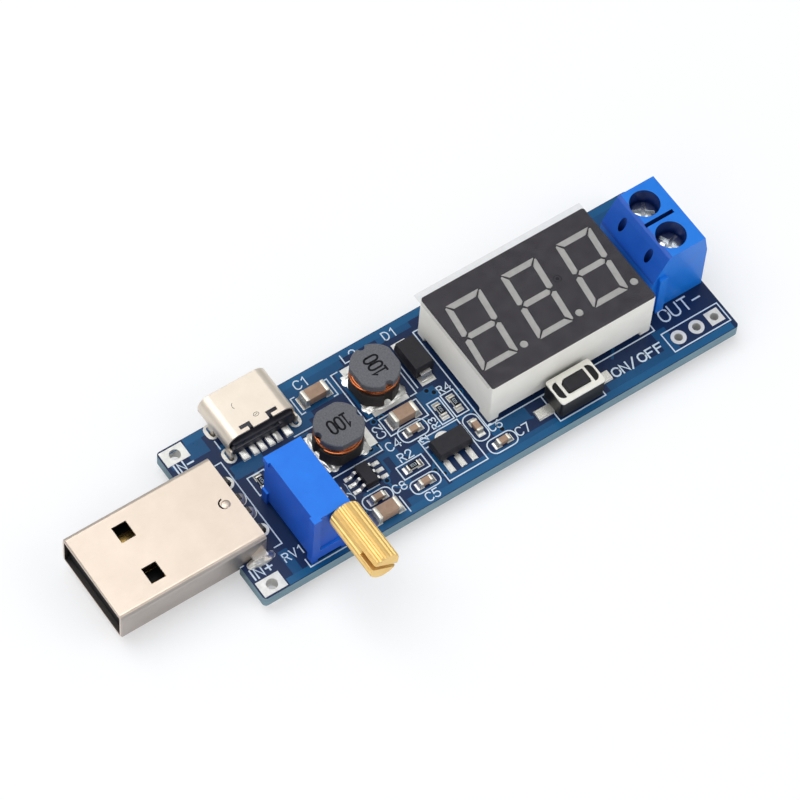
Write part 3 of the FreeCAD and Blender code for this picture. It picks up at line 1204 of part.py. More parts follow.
def button_outline(grow, z0, z1):
    """Button cross-section with two corners cut off, grown by a clearance."""
    half_x, half_y = BUTTON_LENGTH / 2 + grow, BUTTON_WIDTH / 2 + grow
    clip = BUTTON_CLIP
    points = [
        (-half_x + clip, half_y), (-half_x, half_y - clip), (-half_x, -half_y + clip * 0.3),
        (-half_x + clip * 0.3, -half_y), (half_x, -half_y), (half_x, half_y),
    ]
    corners = [Vector(SWITCH_MIDDLE_X + px, SWITCH_MIDDLE_Y + py, z0) for px, py in points]
    return prism(corners, UP * (z1 - z0))


def switch_base():
    """Moulded base of the switch with a well for the dome and the button's flange."""
    top = SWITCH_TOP - SWITCH_COVER
    base = block_at(SWITCH_MIDDLE_X, SWITCH_MIDDLE_Y, PAD_THICKNESS + SWITCH_LEAD_THICKNESS,
                    SWITCH_LENGTH, SWITCH_WIDTH, top - PAD_THICKNESS - SWITCH_LEAD_THICKNESS)
    base = round_edges(base, SWITCH_CORNER, UP)
    base = fuse([base] + switch_windows(SWITCH_STAKE_GAP, top - 0.1, SWITCH_TOP - SWITCH_STAKE_DROP))
    grow = BUTTON_FLANGE + BUTTON_CLEARANCE
    well = button_outline(grow, SWITCH_WELL_Z, top + 0.01)
    return base.cut(well)


def switch_cover():
    """Pressed steel cover over the base, with a window for the button."""
    cover = block_at(SWITCH_MIDDLE_X, SWITCH_MIDDLE_Y, SWITCH_TOP - SWITCH_COVER, SWITCH_LENGTH,
                     SWITCH_WIDTH, SWITCH_COVER)
    cover = round_edges(cover, SWITCH_CORNER, UP)
    window = button_outline(BUTTON_CLEARANCE, SWITCH_TOP - 1, SWITCH_TOP + 1)
    return cut(cover, [window] + switch_windows(0, SWITCH_TOP - 1, SWITCH_TOP + 1))


def switch_button():
    """Button with the flange that the cover keeps in."""
    cap = round_edges(button_outline(0, FLANGE_TOP_Z - 0.1, BUTTON_TOP), BUTTON_CORNER, UP)
    rim = [edge for edge in cap.Edges if abs(edge.CenterOfMass.z - BUTTON_TOP) < 1e-6]
    cap = cap.makeChamfer(0.12, rim)
    return fuse([cap, button_outline(BUTTON_FLANGE, FLANGE_UNDER_Z, FLANGE_TOP_Z)])


def switch_dome():
    """Sprung contact dome that carries the button."""
    sheet = 0.08
    lower = Part.makeCone(DOME_RADIUS, DOME_RADIUS * 0.4, DOME_RISE,
                          Vector(SWITCH_MIDDLE_X, SWITCH_MIDDLE_Y, SWITCH_WELL_Z))
    hollow = Part.makeCone(DOME_RADIUS - 2 * sheet, DOME_RADIUS * 0.4 - sheet, DOME_RISE - sheet,
                           Vector(SWITCH_MIDDLE_X, SWITCH_MIDDLE_Y, SWITCH_WELL_Z))
    return lower.cut(hollow)


def switch_leads():
    """The switch's two flat leads."""
    leads = []
    for side in (-1, 1):
        x = SWITCH_MIDDLE_X + side * SWITCH_LENGTH / 2
        path = [
            Vector(x - side * 0.8, SWITCH_MIDDLE_Y, PAD_THICKNESS + SWITCH_LEAD_THICKNESS / 2),
            Vector(x + side * SWITCH_LEAD_REACH, SWITCH_MIDDLE_Y, PAD_THICKNESS + SWITCH_LEAD_THICKNESS / 2),
        ]
        leads.append(sheet_path(path, SWITCH_LEAD_THICKNESS, SWITCH_LEAD_WIDTH, TO_Y))
    return Part.makeCompound(leads)


def flange(z0, z1, bevel=0.0):
    """Coil flange about the origin: a disc with two flat sides and a notch at each end."""
    disc = upright(0, 0, z0, z1 - bevel, COIL_RADIUS)
    if bevel:
        disc = fuse([disc, Part.makeCone(COIL_RADIUS, COIL_RADIUS - bevel, bevel, Vector(0, 0, z1 - bevel))])
    plate = disc.common(block_at(0, 0, z0, 3 * COIL_RADIUS, COIL_WIDTH, z1 - z0))
    notches = [upright(side * COIL_RADIUS, 0, z0 - 1, z1 + 1, COIL_NOTCH_RADIUS) for side in (-1, 1)]
    return cut(plate, notches)


def placed_coil(shape, key):
    """Coil piece turned and moved from the origin to its place."""
    x, y = COIL_PLACES[key]
    moved = quarter_turn(shape, 0, 0) if key in TURNED_COILS else shape.copy()
    moved.translate(Vector(x, y, 0))
    return moved


def coil_base_z():
    """Height of the underside of a coil's core."""
    return PAD_THICKNESS + COIL_BASE_PLATE


def coil_core(key):
    """Ferrite drum: a thin top flange, a neck and a tall lower flange."""
    z0 = coil_base_z()
    lower = flange(z0, z0 + COIL_LOWER_FLANGE)
    upper = flange(COIL_TOP - COIL_TOP_FLANGE, COIL_TOP, bevel=0.12)
    neck = upright(0, 0, z0 + COIL_LOWER_FLANGE - 0.1, COIL_TOP - COIL_TOP_FLANGE + 0.1, COIL_NECK_RADIUS)
    return placed_coil(fuse([lower, neck, upper]), key)


def coil_winding(key):
    """Copper winding round the neck, ridged by its outer turns, with its two ends led down."""
    z0 = coil_base_z() + COIL_LOWER_FLANGE
    z1 = COIL_TOP - COIL_TOP_FLANGE
    turns = int((z1 - z0) / WIRE_DIAMETER)
    pitch = (z1 - z0) / turns
    valley = WINDING_RADIUS - WIRE_DIAMETER / 3
    profile = [Vector(COIL_NECK_RADIUS, 0, z0), Vector(valley, 0, z0)]
    for i in range(turns):
        profile.append(Vector(WINDING_RADIUS, 0, z0 + pitch * (i + 0.5)))
        profile.append(Vector(valley, 0, z0 + pitch * (i + 1)))
    profile.append(Vector(COIL_NECK_RADIUS, 0, z1))
    coil = Part.Face(Part.makePolygon(profile + profile[:1])).revolve(Vector(0, 0, 0), UP, 360)
    reach = COIL_RADIUS - COIL_NOTCH_RADIUS * 0.45
    low = Vector(0, 0, coil_base_z() + WIRE_DIAMETER / 2)
    high = Vector(0, 0, z0 + pitch / 2)
    tails = []
    for side in (-1, 1):
        path = [high + TO_X * side * (valley - 0.2), high + TO_X * side * reach, low + TO_X * side * reach]
        tails.append(sheet_path(path, WIRE_DIAMETER, WIRE_DIAMETER, TO_Y))
    return placed_coil(fuse([coil] + tails), key)


def coil_terminals(key):
    """Tinned end plates on the underside of a coil's core."""
    plates = []
    for side in (-1, 1):
        plate = flange(PAD_THICKNESS, PAD_THICKNESS + COIL_BASE_PLATE)
        half = block_at(side * COIL_RADIUS, 0, 0, COIL_RADIUS * 1.2, 2 * COIL_WIDTH, COIL_TOP)
        plates.append(plate.common(half))
    return placed_coil(Part.makeCompound(plates), key)


def chip_part(size, x, y, turn):
    """Chip capacitor or resistor: a block with slightly proud metal ends."""
    length, width, height, end = size
    proud = CHIP_END_PROUD
    z0 = PAD_THICKNESS
    body = block_at(x, y, z0 + proud, length - 0.1, width - 2 * proud, height - 2 * proud)
    ends = [
        block_at(x + side * (length - end) / 2, y, z0, end, width, height) for side in (-1, 1)
    ]
    solid = fuse([body] + ends)
    return quarter_turn(solid, x, y) if turn else solid


def diode_body():
    """Moulded body of the rectifier diode."""
    body = moulded_body(DIODE_X, DIODE_Y, PAD_THICKNESS + CHIP_STANDOFF, DIODE_WIDTH, DIODE_LENGTH,
                        DIODE_HEIGHT, 0.12)
    return cut(body, diode_lead_solids())


def diode_lead_solids():
    """The diode's two leads, out of the middle of each end and folded under."""
    solids = []
    for side in (-1, 1):
        end_y = DIODE_Y + side * DIODE_LENGTH / 2
        t = DIODE_LEAD_THICKNESS
        high = PAD_THICKNESS + CHIP_STANDOFF + DIODE_HEIGHT * 0.45
        foot = PAD_THICKNESS + t / 2
        path = [
            Vector(DIODE_X, end_y - side * 0.3, high),
            Vector(DIODE_X, end_y + side * DIODE_LEAD_REACH * 0.5, high),
            Vector(DIODE_X, end_y + side * DIODE_LEAD_REACH, foot),
            Vector(DIODE_X, end_y + side * (DIODE_LEAD_REACH + 0.2), foot),
        ]
        solids.append(sheet_path(path, t, DIODE_LEAD_WIDTH, TO_X))
    return solids


def diode_leads():
    """Both leads of the diode."""
    return Part.makeCompound(diode_lead_solids())


def converter_chip():
    """Body of the six-lead converter chip."""
    return moulded_body(CONVERTER_X, CONVERTER_Y, PAD_THICKNESS + CHIP_STANDOFF, CONVERTER_WIDTH,
                        CONVERTER_LENGTH, CONVERTER_HEIGHT, 0.08)


def converter_leads():
    """The converter chip's six leads."""
    reach = (CONVERTER_LEAD_SPAN - CONVERTER_WIDTH) / 2
    top = PAD_THICKNESS + CHIP_STANDOFF + CONVERTER_HEIGHT * 0.45
    return Part.makeCompound([
        gull_wing(CONVERTER_X + side * CONVERTER_WIDTH / 2, CONVERTER_Y + i * CONVERTER_LEAD_PITCH,
                  TO_X * side, CONVERTER_LEAD_WIDTH, reach, top, CHIP_LEAD_THICKNESS)
        for side in (-1, 1) for i in (-1, 0, 1)
    ])


def regulator_chip():
    """Body of the three-lead regulator chip."""
    return moulded_body(REGULATOR_X, REGULATOR_Y, PAD_THICKNESS + CHIP_LEAD_THICKNESS, REGULATOR_LENGTH,
                        REGULATOR_WIDTH, REGULATOR_HEIGHT, 0.15)


def regulator_leads():
    """The regulator's tab and its three leads, flat on their pads."""
    t = CHIP_LEAD_THICKNESS
    front = REGULATOR_Y - REGULATOR_WIDTH / 2
    back = REGULATOR_Y + REGULATOR_WIDTH / 2
    tab = block_at(REGULATOR_X, REGULATOR_Y + 0.2, PAD_THICKNESS, 2 * REGULATOR_TAB_RADIUS,
                   REGULATOR_WIDTH - 0.4, t)
    round_end = upright(REGULATOR_X, back + 0.05, PAD_THICKNESS, PAD_THICKNESS + t, REGULATOR_TAB_RADIUS)
    solids = [fuse([tab, round_end])]
    for i in (-1, 0, 1):
        x = REGULATOR_X + i * REGULATOR_LEAD_PITCH
        length = REGULATOR_LEAD_REACH + 0.5
        solids.append(block_at(x, front - length / 2 + 0.5, PAD_THICKNESS, REGULATOR_LEAD_WIDTH, length, t))
    return Part.makeCompound(solids)


def pieces():
    """Every named piece of the module."""
    found = {
        "circuit_board": circuit_board(),
        "board_pads": board_pads(),
        "solder_joints": solder_joints(),
        "plug_shell": plug_shell(),
        "plug_insulator": plug_insulator(),
        "plug_contacts": plug_contacts(),
        "socket_shell": socket_shell(),
        "socket_insulator": socket_insulator(),
        "socket_contacts": socket_contacts(),
        "meter_housing": meter_housing(),
        "meter_board": meter_board(),
        "meter_pins": meter_pins(),
        "meter_face": meter_face(),
        "meter_segments": meter_segments(),
        "meter_film": meter_film(),
        "meter_chip": meter_chip(),
        "meter_chip_leads": meter_chip_leads(),
        "adjuster_housing": adjuster_housing(),
        "adjuster_knob": adjuster_knob(),
        "adjuster_wheel": adjuster_wheel(),
        "adjuster_pins": adjuster_pins(),
        "terminal_housing": terminal_housing(),
        "terminal_pins": terminal_pins(),
        "switch_base": switch_base(),
        "switch_cover": switch_cover(),
        "switch_button": switch_button(),
        "switch_dome": switch_dome(),
        "switch_leads": switch_leads(),
        "diode_body": diode_body(),
        "diode_leads": diode_leads(),
        "converter_chip": converter_chip(),
        "converter_leads": converter_leads(),
        "regulator_chip": regulator_chip(),
        "regulator_leads": regulator_leads(),
    }
    for number, y in enumerate(terminal_poles(), start=1):
        found[f"terminal_screw_{number}"] = terminal_screw(y)
        found[f"terminal_cage_{number}"] = terminal_cage(y)
    for key in COIL_PLACES:
        found[f"coil_core_{key}"] = coil_core(key)
        found[f"coil_winding_{key}"] = coil_winding(key)
        found[f"coil_terminals_{key}"] = coil_terminals(key)
    for name, spec in CHIPS.items():
        found[name] = chip_part(*spec)
    return found


def main():
    """Write one file per piece, moved so that the part stands on z = 0 about its middle."""
    to_middle = Vector(
        -(PLUG_TIP + BOARD_LENGTH) / 2,
        -(KNOB_TIP_Y + SOCKET_MOUTH) / 2,
        -PIN_END_Z,
    )
    os.makedirs("parts", exist_ok=True)
    for name, shape in pieces().items():
        shape.translate(to_middle)
        shape.exportStep(f"parts/{name}.step")


main()
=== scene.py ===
"""Looks of a buck-boost converter module: a blue circuit board with two supply connectors,
a three-digit meter, an adjuster with a brass knob, a push switch and a screw terminal.

Sizes are in millimetres from the board's corner nearest the plug and the knob, with the
board's upper face at zero height. Datum turns them into the frame's metres.
"""

import json
import logging
import math
from dataclasses import dataclass
from enum import Enum
from typing import Callable, Sequence

import bmesh
import bpy
from mathutils import Matrix, Vector

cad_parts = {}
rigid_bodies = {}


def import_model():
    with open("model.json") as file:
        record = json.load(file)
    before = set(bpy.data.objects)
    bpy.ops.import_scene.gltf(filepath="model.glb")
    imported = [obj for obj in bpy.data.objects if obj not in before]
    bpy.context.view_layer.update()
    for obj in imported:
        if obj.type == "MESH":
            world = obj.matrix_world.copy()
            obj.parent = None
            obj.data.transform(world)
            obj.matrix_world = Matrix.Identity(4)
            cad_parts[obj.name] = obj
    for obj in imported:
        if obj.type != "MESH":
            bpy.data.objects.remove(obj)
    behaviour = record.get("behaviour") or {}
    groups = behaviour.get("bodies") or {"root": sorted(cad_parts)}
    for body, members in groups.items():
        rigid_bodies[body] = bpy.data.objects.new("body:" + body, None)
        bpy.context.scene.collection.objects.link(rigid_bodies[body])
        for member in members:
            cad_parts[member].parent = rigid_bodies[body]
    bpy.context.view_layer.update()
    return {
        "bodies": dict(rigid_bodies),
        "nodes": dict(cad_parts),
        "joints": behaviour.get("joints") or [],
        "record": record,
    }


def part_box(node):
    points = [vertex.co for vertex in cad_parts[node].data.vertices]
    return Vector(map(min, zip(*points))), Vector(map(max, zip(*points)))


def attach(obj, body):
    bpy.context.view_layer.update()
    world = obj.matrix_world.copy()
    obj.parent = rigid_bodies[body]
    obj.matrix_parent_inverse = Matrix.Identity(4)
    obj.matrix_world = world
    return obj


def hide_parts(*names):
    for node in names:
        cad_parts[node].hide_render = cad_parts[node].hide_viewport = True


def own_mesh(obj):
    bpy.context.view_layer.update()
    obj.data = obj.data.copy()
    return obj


log = logging.getLogger("converter_module")

MM = 0.001
SMOOTH_ANGLE = math.radians(35)
LEVEL_NORMAL = 0.9998
FINE_RELIEF = 0.00002
PRINT_LINE = 0.145
PRINT_LOW = 0.018
PRINT_HIGH = 0.03
PRINT_STEP = 0.0004

Colour = tuple[float, float, float]
Point = tuple[float, float]
Area = tuple[float, float, float, float]


def linear(red: int, green: int, blue: int) -> Colour:
    """Turns a colour as a screen shows it, 0 to 255, into the linear values of a shader.

    Args:
        red: Red from 0 to 255.
        green: Green from 0 to 255.
        blue: Blue from 0 to 255.

    Returns:
        The three linear values.
    """
    def one(value: int) -> float:
        """Linear value of one colour."""
        share = value / 255
        return share / 12.92 if share <= 0.04045 else ((share + 0.055) / 1.055) ** 2.4

    return one(red), one(green), one(blue)


# Places


class Datum:
    """The board's corner at its upper face, from which every place is given."""

    def __init__(self) -> None:
        """Reads the board's box from the frame."""
        low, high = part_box("circuit_board")
        self.corner = Vector((low[0], low[1], high[2]))
        self.length = (high[0] - low[0]) / MM
        self.width = (high[1] - low[1]) / MM
        self.thickness = (high[2] - low[2]) / MM

    def point(self, x: float, y: float, z: float = 0.0) -> Vector:
        """Frame point of a place on the board in millimetres."""
        return self.corner + Vector((x, y, z)) * MM

    def local(self, node: str) -> tuple[Vector, Vector]:
        """Lowest and highest corner of a CAD node, in the board's millimetres."""
        low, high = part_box(node)
        return (Vector(low) - self.corner) / MM, (Vector(high) - self.corner) / MM


# Shader groups


def new_group(name: str, inputs: dict[str, float], outputs: Sequence[str]) -> bpy.types.ShaderNodeTree:
    """Starts a shader group with number inputs and outputs.

    Args:
        name: The group's name.
        inputs: Each input with its default value.
        outputs: Names of the outputs, all plain numbers.

    Returns:
        The group, with its input and output nodes in place.
    """
    group = bpy.data.node_groups.new(name, "ShaderNodeTree")
    for key, value in inputs.items():
        socket = group.interface.new_socket(name=key, in_out="INPUT", socket_type="NodeSocketFloat")
        socket.default_value = value
    for key in outputs:
        group.interface.new_socket(name=key, in_out="OUTPUT", socket_type="NodeSocketFloat")
    group.nodes.new("NodeGroupInput").name = "in"
    group.nodes.new("NodeGroupOutput").name = "out"
    return group


def mottle_group() -> bpy.types.ShaderNodeTree:
    """Soft cloudy variation, 0 to 1, from one noise of several octaves."""
    group = new_group("mottle", {"Scale": 600.0, "Contrast": 1.0}, ["Value"])
    nodes, links = group.nodes, group.links
    place = nodes.new("ShaderNodeTexCoord")
    cloud = nodes.new("ShaderNodeTexNoise")
    cloud.inputs["Detail"].default_value = 4.0
    cloud.inputs["Roughness"].default_value = 0.6
    shape = nodes.new("ShaderNodeMapRange")
    half = nodes.new("ShaderNodeMath")
    half.operation = "MULTIPLY"
    half.inputs[1].default_value = 0.28
    low = nodes.new("ShaderNodeMath")
    low.operation = "SUBTRACT"
    low.inputs[0].default_value = 0.5
    high = nodes.new("ShaderNodeMath")
    high.operation = "ADD"
    high.inputs[1].default_value = 0.5
    links.new(place.outputs["Object"], cloud.inputs["Vector"])
    links.new(nodes["in"].outputs["Scale"], cloud.inputs["Scale"])
    links.new(nodes["in"].outputs["Contrast"], half.inputs[0])
    links.new(half.outputs[0], low.inputs[1])
    links.new(half.outputs[0], high.inputs[0])
    links.new(cloud.outputs["Fac"], shape.inputs["Value"])
    links.new(low.outputs[0], shape.inputs["From Min"])
    links.new(high.outputs[0], shape.inputs["From Max"])
    links.new(shape.outputs["Result"], nodes["out"].inputs["Value"])
    return group


def brushed_group() -> bpy.types.ShaderNodeTree:
    """Fine parallel lines along X, Y or Z, as left by rolling or turning."""
    group = new_group("brushed", {"Across X": 1.0, "Across Y": 1.0, "Across Z": 1.0}, ["Value"])
    nodes, links = group.nodes, group.links
    place = nodes.new("ShaderNodeTexCoord")
    stretch = nodes.new("ShaderNodeVectorMath")
    stretch.operation = "MULTIPLY"
    join = nodes.new("ShaderNodeCombineXYZ")
    for axis in "XYZ":
        links.new(nodes["in"].outputs[f"Across {axis}"], join.inputs[axis])
    lines = nodes.new("ShaderNodeTexNoise")
    lines.inputs["Scale"].default_value = 1.0
    lines.inputs["Detail"].default_value = 3.0
    links.new(place.outputs["Object"], stretch.inputs[0])
    links.new(join.outputs[0], stretch.inputs[1])
    links.new(stretch.outputs[0], lines.inputs["Vector"])
    links.new(lines.outputs["Fac"], nodes["out"].inputs["Value"])
    return group


class Groups:
    """The shader groups, each built once when it is first asked for."""

    makers: dict[str, Callable[[], bpy.types.ShaderNodeTree]] = {
        "mottle": mottle_group,
        "brushed": brushed_group,
    }
    built: dict[str, bpy.types.ShaderNodeTree] = {}

    @classmethod
    def get(cls, name: str) -> bpy.types.ShaderNodeTree:
        """The named group."""
        if name not in cls.built:
            cls.built[name] = cls.makers[name]()
        return cls.built[name]


class Nodes:
    """A material's node tree with short calls for the nodes that the finishes share."""

    def __init__(self, name: str) -> None:
        """Starts a material with its Principled shader."""
        self.material = bpy.data.materials.new(name)
        self.material.use_nodes = True
        self.tree = self.material.node_tree
        self.shader = self.tree.nodes["Principled BSDF"]

    def link(self, source: bpy.types.NodeSocket, target: bpy.types.NodeSocket) -> None:
        """Joins two sockets."""
        self.tree.links.new(source, target)

    def group(self, name: str, **values: float) -> bpy.types.NodeSocket:
        """Places a shared group with its values and returns its output."""
        node = self.tree.nodes.new("ShaderNodeGroup")
        node.node_tree = Groups.get(name)
        for key, value in values.items():
            node.inputs[key.replace("_", " ")].default_value = value
        return node.outputs["Value"]

    def blend(self, share: bpy.types.NodeSocket, low: Colour, high: Colour) -> bpy.types.NodeSocket:
        """Colour that runs from low to high with a value."""
        mix = self.tree.nodes.new("ShaderNodeMix")
        mix.data_type = "RGBA"
        mix.inputs["A"].default_value = (*low, 1.0)
        mix.inputs["B"].default_value = (*high, 1.0)
        self.link(share, mix.inputs["Factor"])
        return mix.outputs["Result"]

    def between(self, share: bpy.types.NodeSocket, low: float, high: float) -> bpy.types.NodeSocket:
        """Number that runs from low to high with a value."""
        node = self.tree.nodes.new("ShaderNodeMapRange")
        node.inputs["To Min"].default_value = low
        node.inputs["To Max"].default_value = high
        self.link(share, node.inputs["Value"])
        return node.outputs["Result"]

    def bump(self, height: bpy.types.NodeSocket, strength: float, distance: float) -> None:
        """Feeds a height into the shader's normal."""
        node = self.tree.nodes.new("ShaderNodeBump")
        node.inputs["Strength"].default_value = strength
        node.inputs["Distance"].default_value = distance
        self.link(height, node.inputs["Height"])
        self.link(node.outputs["Normal"], self.shader.inputs["Normal"])

    def noise(self, scale: float, detail: float = 2.0) -> bpy.types.NodeSocket:
        """Plain noise on the piece's own coordinates."""
        place = self.tree.nodes.new("ShaderNodeTexCoord")
        node = self.tree.nodes.new("ShaderNodeTexNoise")
        node.inputs["Scale"].default_value = scale
        node.inputs["Detail"].default_value = detail
        self.link(place.outputs["Object"], node.inputs["Vector"])
        return node.outputs["Fac"]

    def set(self, **values: float) -> None:
        """Sets plain numbers on the shader's own sockets."""
        for key, value in values.items():
            self.shader.inputs[key.replace("_", " ")].default_value = value


# Finishes

BUILT: dict[str, bpy.types.Material] = {}


@dataclass(frozen=True)
class Finish:
    """A finish, built into one material when it is first used."""

    name: str

    def material(self) -> bpy.types.Material:
        """The material of this finish."""
        if self.name not in BUILT:
            BUILT[self.name] = self.build()
        return BUILT[self.name]

    def build(self) -> bpy.types.Material:
        """Makes the material."""
        raise NotImplementedError


@dataclass(frozen=True)
class Moulding(Finish):
    """Moulded plastic or resin with a faint cloud in its colour and a fine grain."""

    low: Colour = (0.5, 0.5, 0.5)
    high: Colour = (0.55, 0.55, 0.55)
    roughness: float = 0.45
    cloud: float = 500.0
    grain: float = 9000.0
    relief: float = 0.12
    coat: float = 0.0
    glow: float = 0.0
    shine: float = 0.3

    def build(self) -> bpy.types.Material:
        """Cloudy colour, varied roughness and a fine grain."""
        nodes = Nodes(self.name)
        cloud = nodes.group("mottle", Scale=self.cloud, Contrast=1.0)
        nodes.link(nodes.blend(cloud, self.low, self.high), nodes.shader.inputs["Base Color"])
        nodes.link(nodes.between(cloud, self.roughness - 0.05, self.roughness + 0.07),
                   nodes.shader.inputs["Roughness"])
        nodes.bump(nodes.noise(self.grain), self.relief, FINE_RELIEF)
        nodes.set(Coat_Weight=self.coat, Subsurface_Weight=self.glow, Specular_IOR_Level=self.shine)
        nodes.shader.inputs["Subsurface Radius"].default_value = (0.0006, 0.0006, 0.0006)
        nodes.shader.inputs["Coat Roughness"].default_value = 0.2
        return nodes.material


@dataclass(frozen=True)
class Plating(Finish):
    """Rolled or turned metal with fine lines along it and a faint tarnish."""

    low: Colour = (0.6, 0.6, 0.6)
    high: Colour = (0.7, 0.7, 0.7)
    roughness: float = 0.3
    across: tuple[float, float, float] = (1500.0, 12000.0, 12000.0)
    relief: float = 0.1
    tarnish: float = 260.0
    metallic: float = 1.0

    def build(self) -> bpy.types.Material:
        """Metal whose tint follows the tarnish and whose roughness follows the lines."""
        nodes = Nodes(self.name)
        patch = nodes.group("mottle", Scale=self.tarnish, Contrast=1.3)
        x, y, z = self.across
        lines = nodes.group("brushed", Across_X=x, Across_Y=y, Across_Z=z)
        nodes.link(nodes.blend(patch, self.low, self.high), nodes.shader.inputs["Base Color"])
        nodes.link(nodes.between(lines, self.roughness - 0.08, self.roughness + 0.12),
                   nodes.shader.inputs["Roughness"])
        nodes.bump(lines, self.relief, FINE_RELIEF)
        nodes.set(Metallic=self.metallic)
        return nodes.material


@dataclass(frozen=True)
class Solder(Finish):
    """Bright tin with ripples, a little duller where flux has stayed."""

    low: Colour = (0.55, 0.56, 0.56)
    high: Colour = (0.86, 0.85, 0.82)
    roughness: float = 0.26
    ripple: float = 2600.0
    relief: float = 0.5
    metallic: float = 0.9

    def build(self) -> bpy.types.Material:
        """Rippled metal."""
        nodes = Nodes(self.name)
        patch = nodes.group("mottle", Scale=1300.0, Contrast=1.0)
        nodes.link(nodes.blend(patch, self.low, self.high), nodes.shader.inputs["Base Color"])
        nodes.link(nodes.between(patch, self.roughness + 0.14, self.roughness - 0.06),
                   nodes.shader.inputs["Roughness"])
        nodes.bump(nodes.noise(self.ripple, 1.0), self.relief, 0.00012)
        nodes.set(Metallic=self.metallic)
        return nodes.material


@dataclass(frozen=True)
class Lacquer(Finish):
    """Blue lacquer over the board, glossy, with a faint weave of the glass cloth below."""

    low: Colour = (0.01, 0.03, 0.1)
    high: Colour = (0.02, 0.05, 0.15)
    roughness: float = 0.28

    def build(self) -> bpy.types.Material:
        """Lacquer with clouds in its colour and a weave in its gloss."""
        nodes = Nodes(self.name)
        cloud = nodes.group("mottle", Scale=180.0, Contrast=1.2)
        weave = nodes.group("brushed", Across_X=2600.0, Across_Y=2600.0, Across_Z=400.0)
        nodes.link(nodes.blend(cloud, self.low, self.high), nodes.shader.inputs["Base Color"])
        nodes.link(nodes.between(weave, self.roughness - 0.05, self.roughness + 0.1),
                   nodes.shader.inputs["Roughness"])
        nodes.bump(weave, 0.12, FINE_RELIEF)
        nodes.set(Specular_IOR_Level=0.22, Coat_Weight=0.06)
        nodes.shader.inputs["Coat Roughness"].default_value = 0.12
        return nodes.material


@dataclass(frozen=True)
class Laminate(Finish):
    """Cut edge of the board: resin and glass in thin level layers."""

    low: Colour = (0.1, 0.2, 0.2)
    high: Colour = (0.3, 0.45, 0.42)

    def build(self) -> bpy.types.Material:
        """Layers that run level along the edge."""
        nodes = Nodes(self.name)
        layers = nodes.group("brushed", Across_X=300.0, Across_Y=300.0, Across_Z=9000.0)
        nodes.link(nodes.blend(layers, self.low, self.high), nodes.shader.inputs["Base Color"])
        nodes.link(nodes.between(layers, 0.55, 0.75), nodes.shader.inputs["Roughness"])
        nodes.bump(layers, 0.3, 0.00003)
        return nodes.material


@dataclass(frozen=True)
class Print(Finish):
    """Printed ink, a little thin in places."""

    low: Colour = (0.6, 0.66, 0.72)
    high: Colour = (0.8, 0.85, 0.9)

    def build(self) -> bpy.types.Material:
        """Matt ink with uneven cover."""
        nodes = Nodes(self.name)
        cover = nodes.group("mottle", Scale=3000.0, Contrast=1.2)
        nodes.link(nodes.blend(cover, self.low, self.high), nodes.shader.inputs["Base Color"])
        nodes.link(nodes.between(cover, 0.75, 0.6), nodes.shader.inputs["Roughness"])
        return nodes.material


@dataclass(frozen=True)
class ClearFilm(Finish):
    """Clear film that shows mostly by its gloss."""

    def build(self) -> bpy.types.Material:
        """Mostly see-through, with faint dust in its clearness."""
        nodes = Nodes(self.name)
        dust = nodes.group("mottle", Scale=900.0, Contrast=1.0)
        nodes.link(nodes.between(dust, 0.06, 0.1), nodes.shader.inputs["Alpha"])
        nodes.shader.inputs["Base Color"].default_value = (0.05, 0.05, 0.055, 1.0)
        nodes.link(nodes.between(dust, 0.1, 0.2), nodes.shader.inputs["Roughness"])
        return nodes.material


@dataclass(frozen=True)
class Ferrite(Finish):
    """Ground ferrite: dark grey with fine pale and dark grains."""

    low: Colour = (0.05, 0.05, 0.055)
    high: Colour = (0.2, 0.2, 0.21)
    roughness: float = 0.6

    def build(self) -> bpy.types.Material:
        """Grainy grey."""
        nodes = Nodes(self.name)
        grains = nodes.group("mottle", Scale=5200.0, Contrast=1.5)
        nodes.link(nodes.blend(grains, self.low, self.high), nodes.shader.inputs["Base Color"])
        nodes.link(nodes.between(grains, self.roughness - 0.08, self.roughness + 0.1),
                   nodes.shader.inputs["Roughness"])
        nodes.bump(nodes.noise(4200.0, 3.0), 0.5, 0.00006)
        return nodes.material


BOARD_DARK = Lacquer("board_lacquer_bare", linear(14, 34, 70), linear(20, 44, 84))
BOARD_BLUE = Lacquer("board_lacquer_copper", linear(14, 66, 108), linear(22, 82, 128))
BOARD_RIM = Lacquer("board_lacquer_rim", linear(18, 78, 122), linear(26, 92, 138))
BOARD_EDGE = Laminate("board_edge", linear(80, 112, 128), linear(134, 162, 172))
PRINT_WHITE = Print("legend_print", linear(190, 208, 226), linear(220, 232, 244))
TIN = Solder("tinned_pad", linear(208, 208, 204), linear(238, 237, 232), 0.4, 900.0, 0.2, 0.45)
SOLDER = Solder("solder", linear(170, 170, 168), linear(242, 240, 234), 0.26, 1100.0, 0.4)
SOLDER_DOME = Solder("solder_dome", linear(150, 148, 158), linear(206, 203, 210), 0.42, 900.0, 0.15, 0.5)
NICKEL = Plating("nickel_shell", linear(210, 195, 180), linear(224, 209, 194), 0.38,
                 (900.0, 7000.0, 7000.0), 0.05)
# Painted shade: darker nickel for the plug's side walls.
NICKEL_SHADED_SIDE = Plating("nickel_shell_painted_shade_side", linear(172, 164, 158), linear(188, 180, 174), 0.4,
                      (900.0, 7000.0, 7000.0), 0.05)
# Painted shade: dark nickel inside the plug's mouth, on the contacts' ends at the board and in the socket's
# tool marks.
NICKEL_PAINTED_SHADE = Plating("nickel_painted_shade", linear(70, 68, 68), linear(92, 88, 86), 0.5,
                        (900.0, 7000.0, 7000.0), 0.05)
SOCKET_NICKEL = Plating("socket_shell_steel", linear(226, 214, 198), linear(240, 228, 213), 0.44,
                        (7000.0, 900.0, 7000.0), 0.05, metallic=0.85)
COVER_STEEL = Plating("switch_cover_steel", linear(236, 233, 224), linear(248, 246, 238), 0.34,
                      (900.0, 7000.0, 7000.0), 0.08, metallic=0.85)
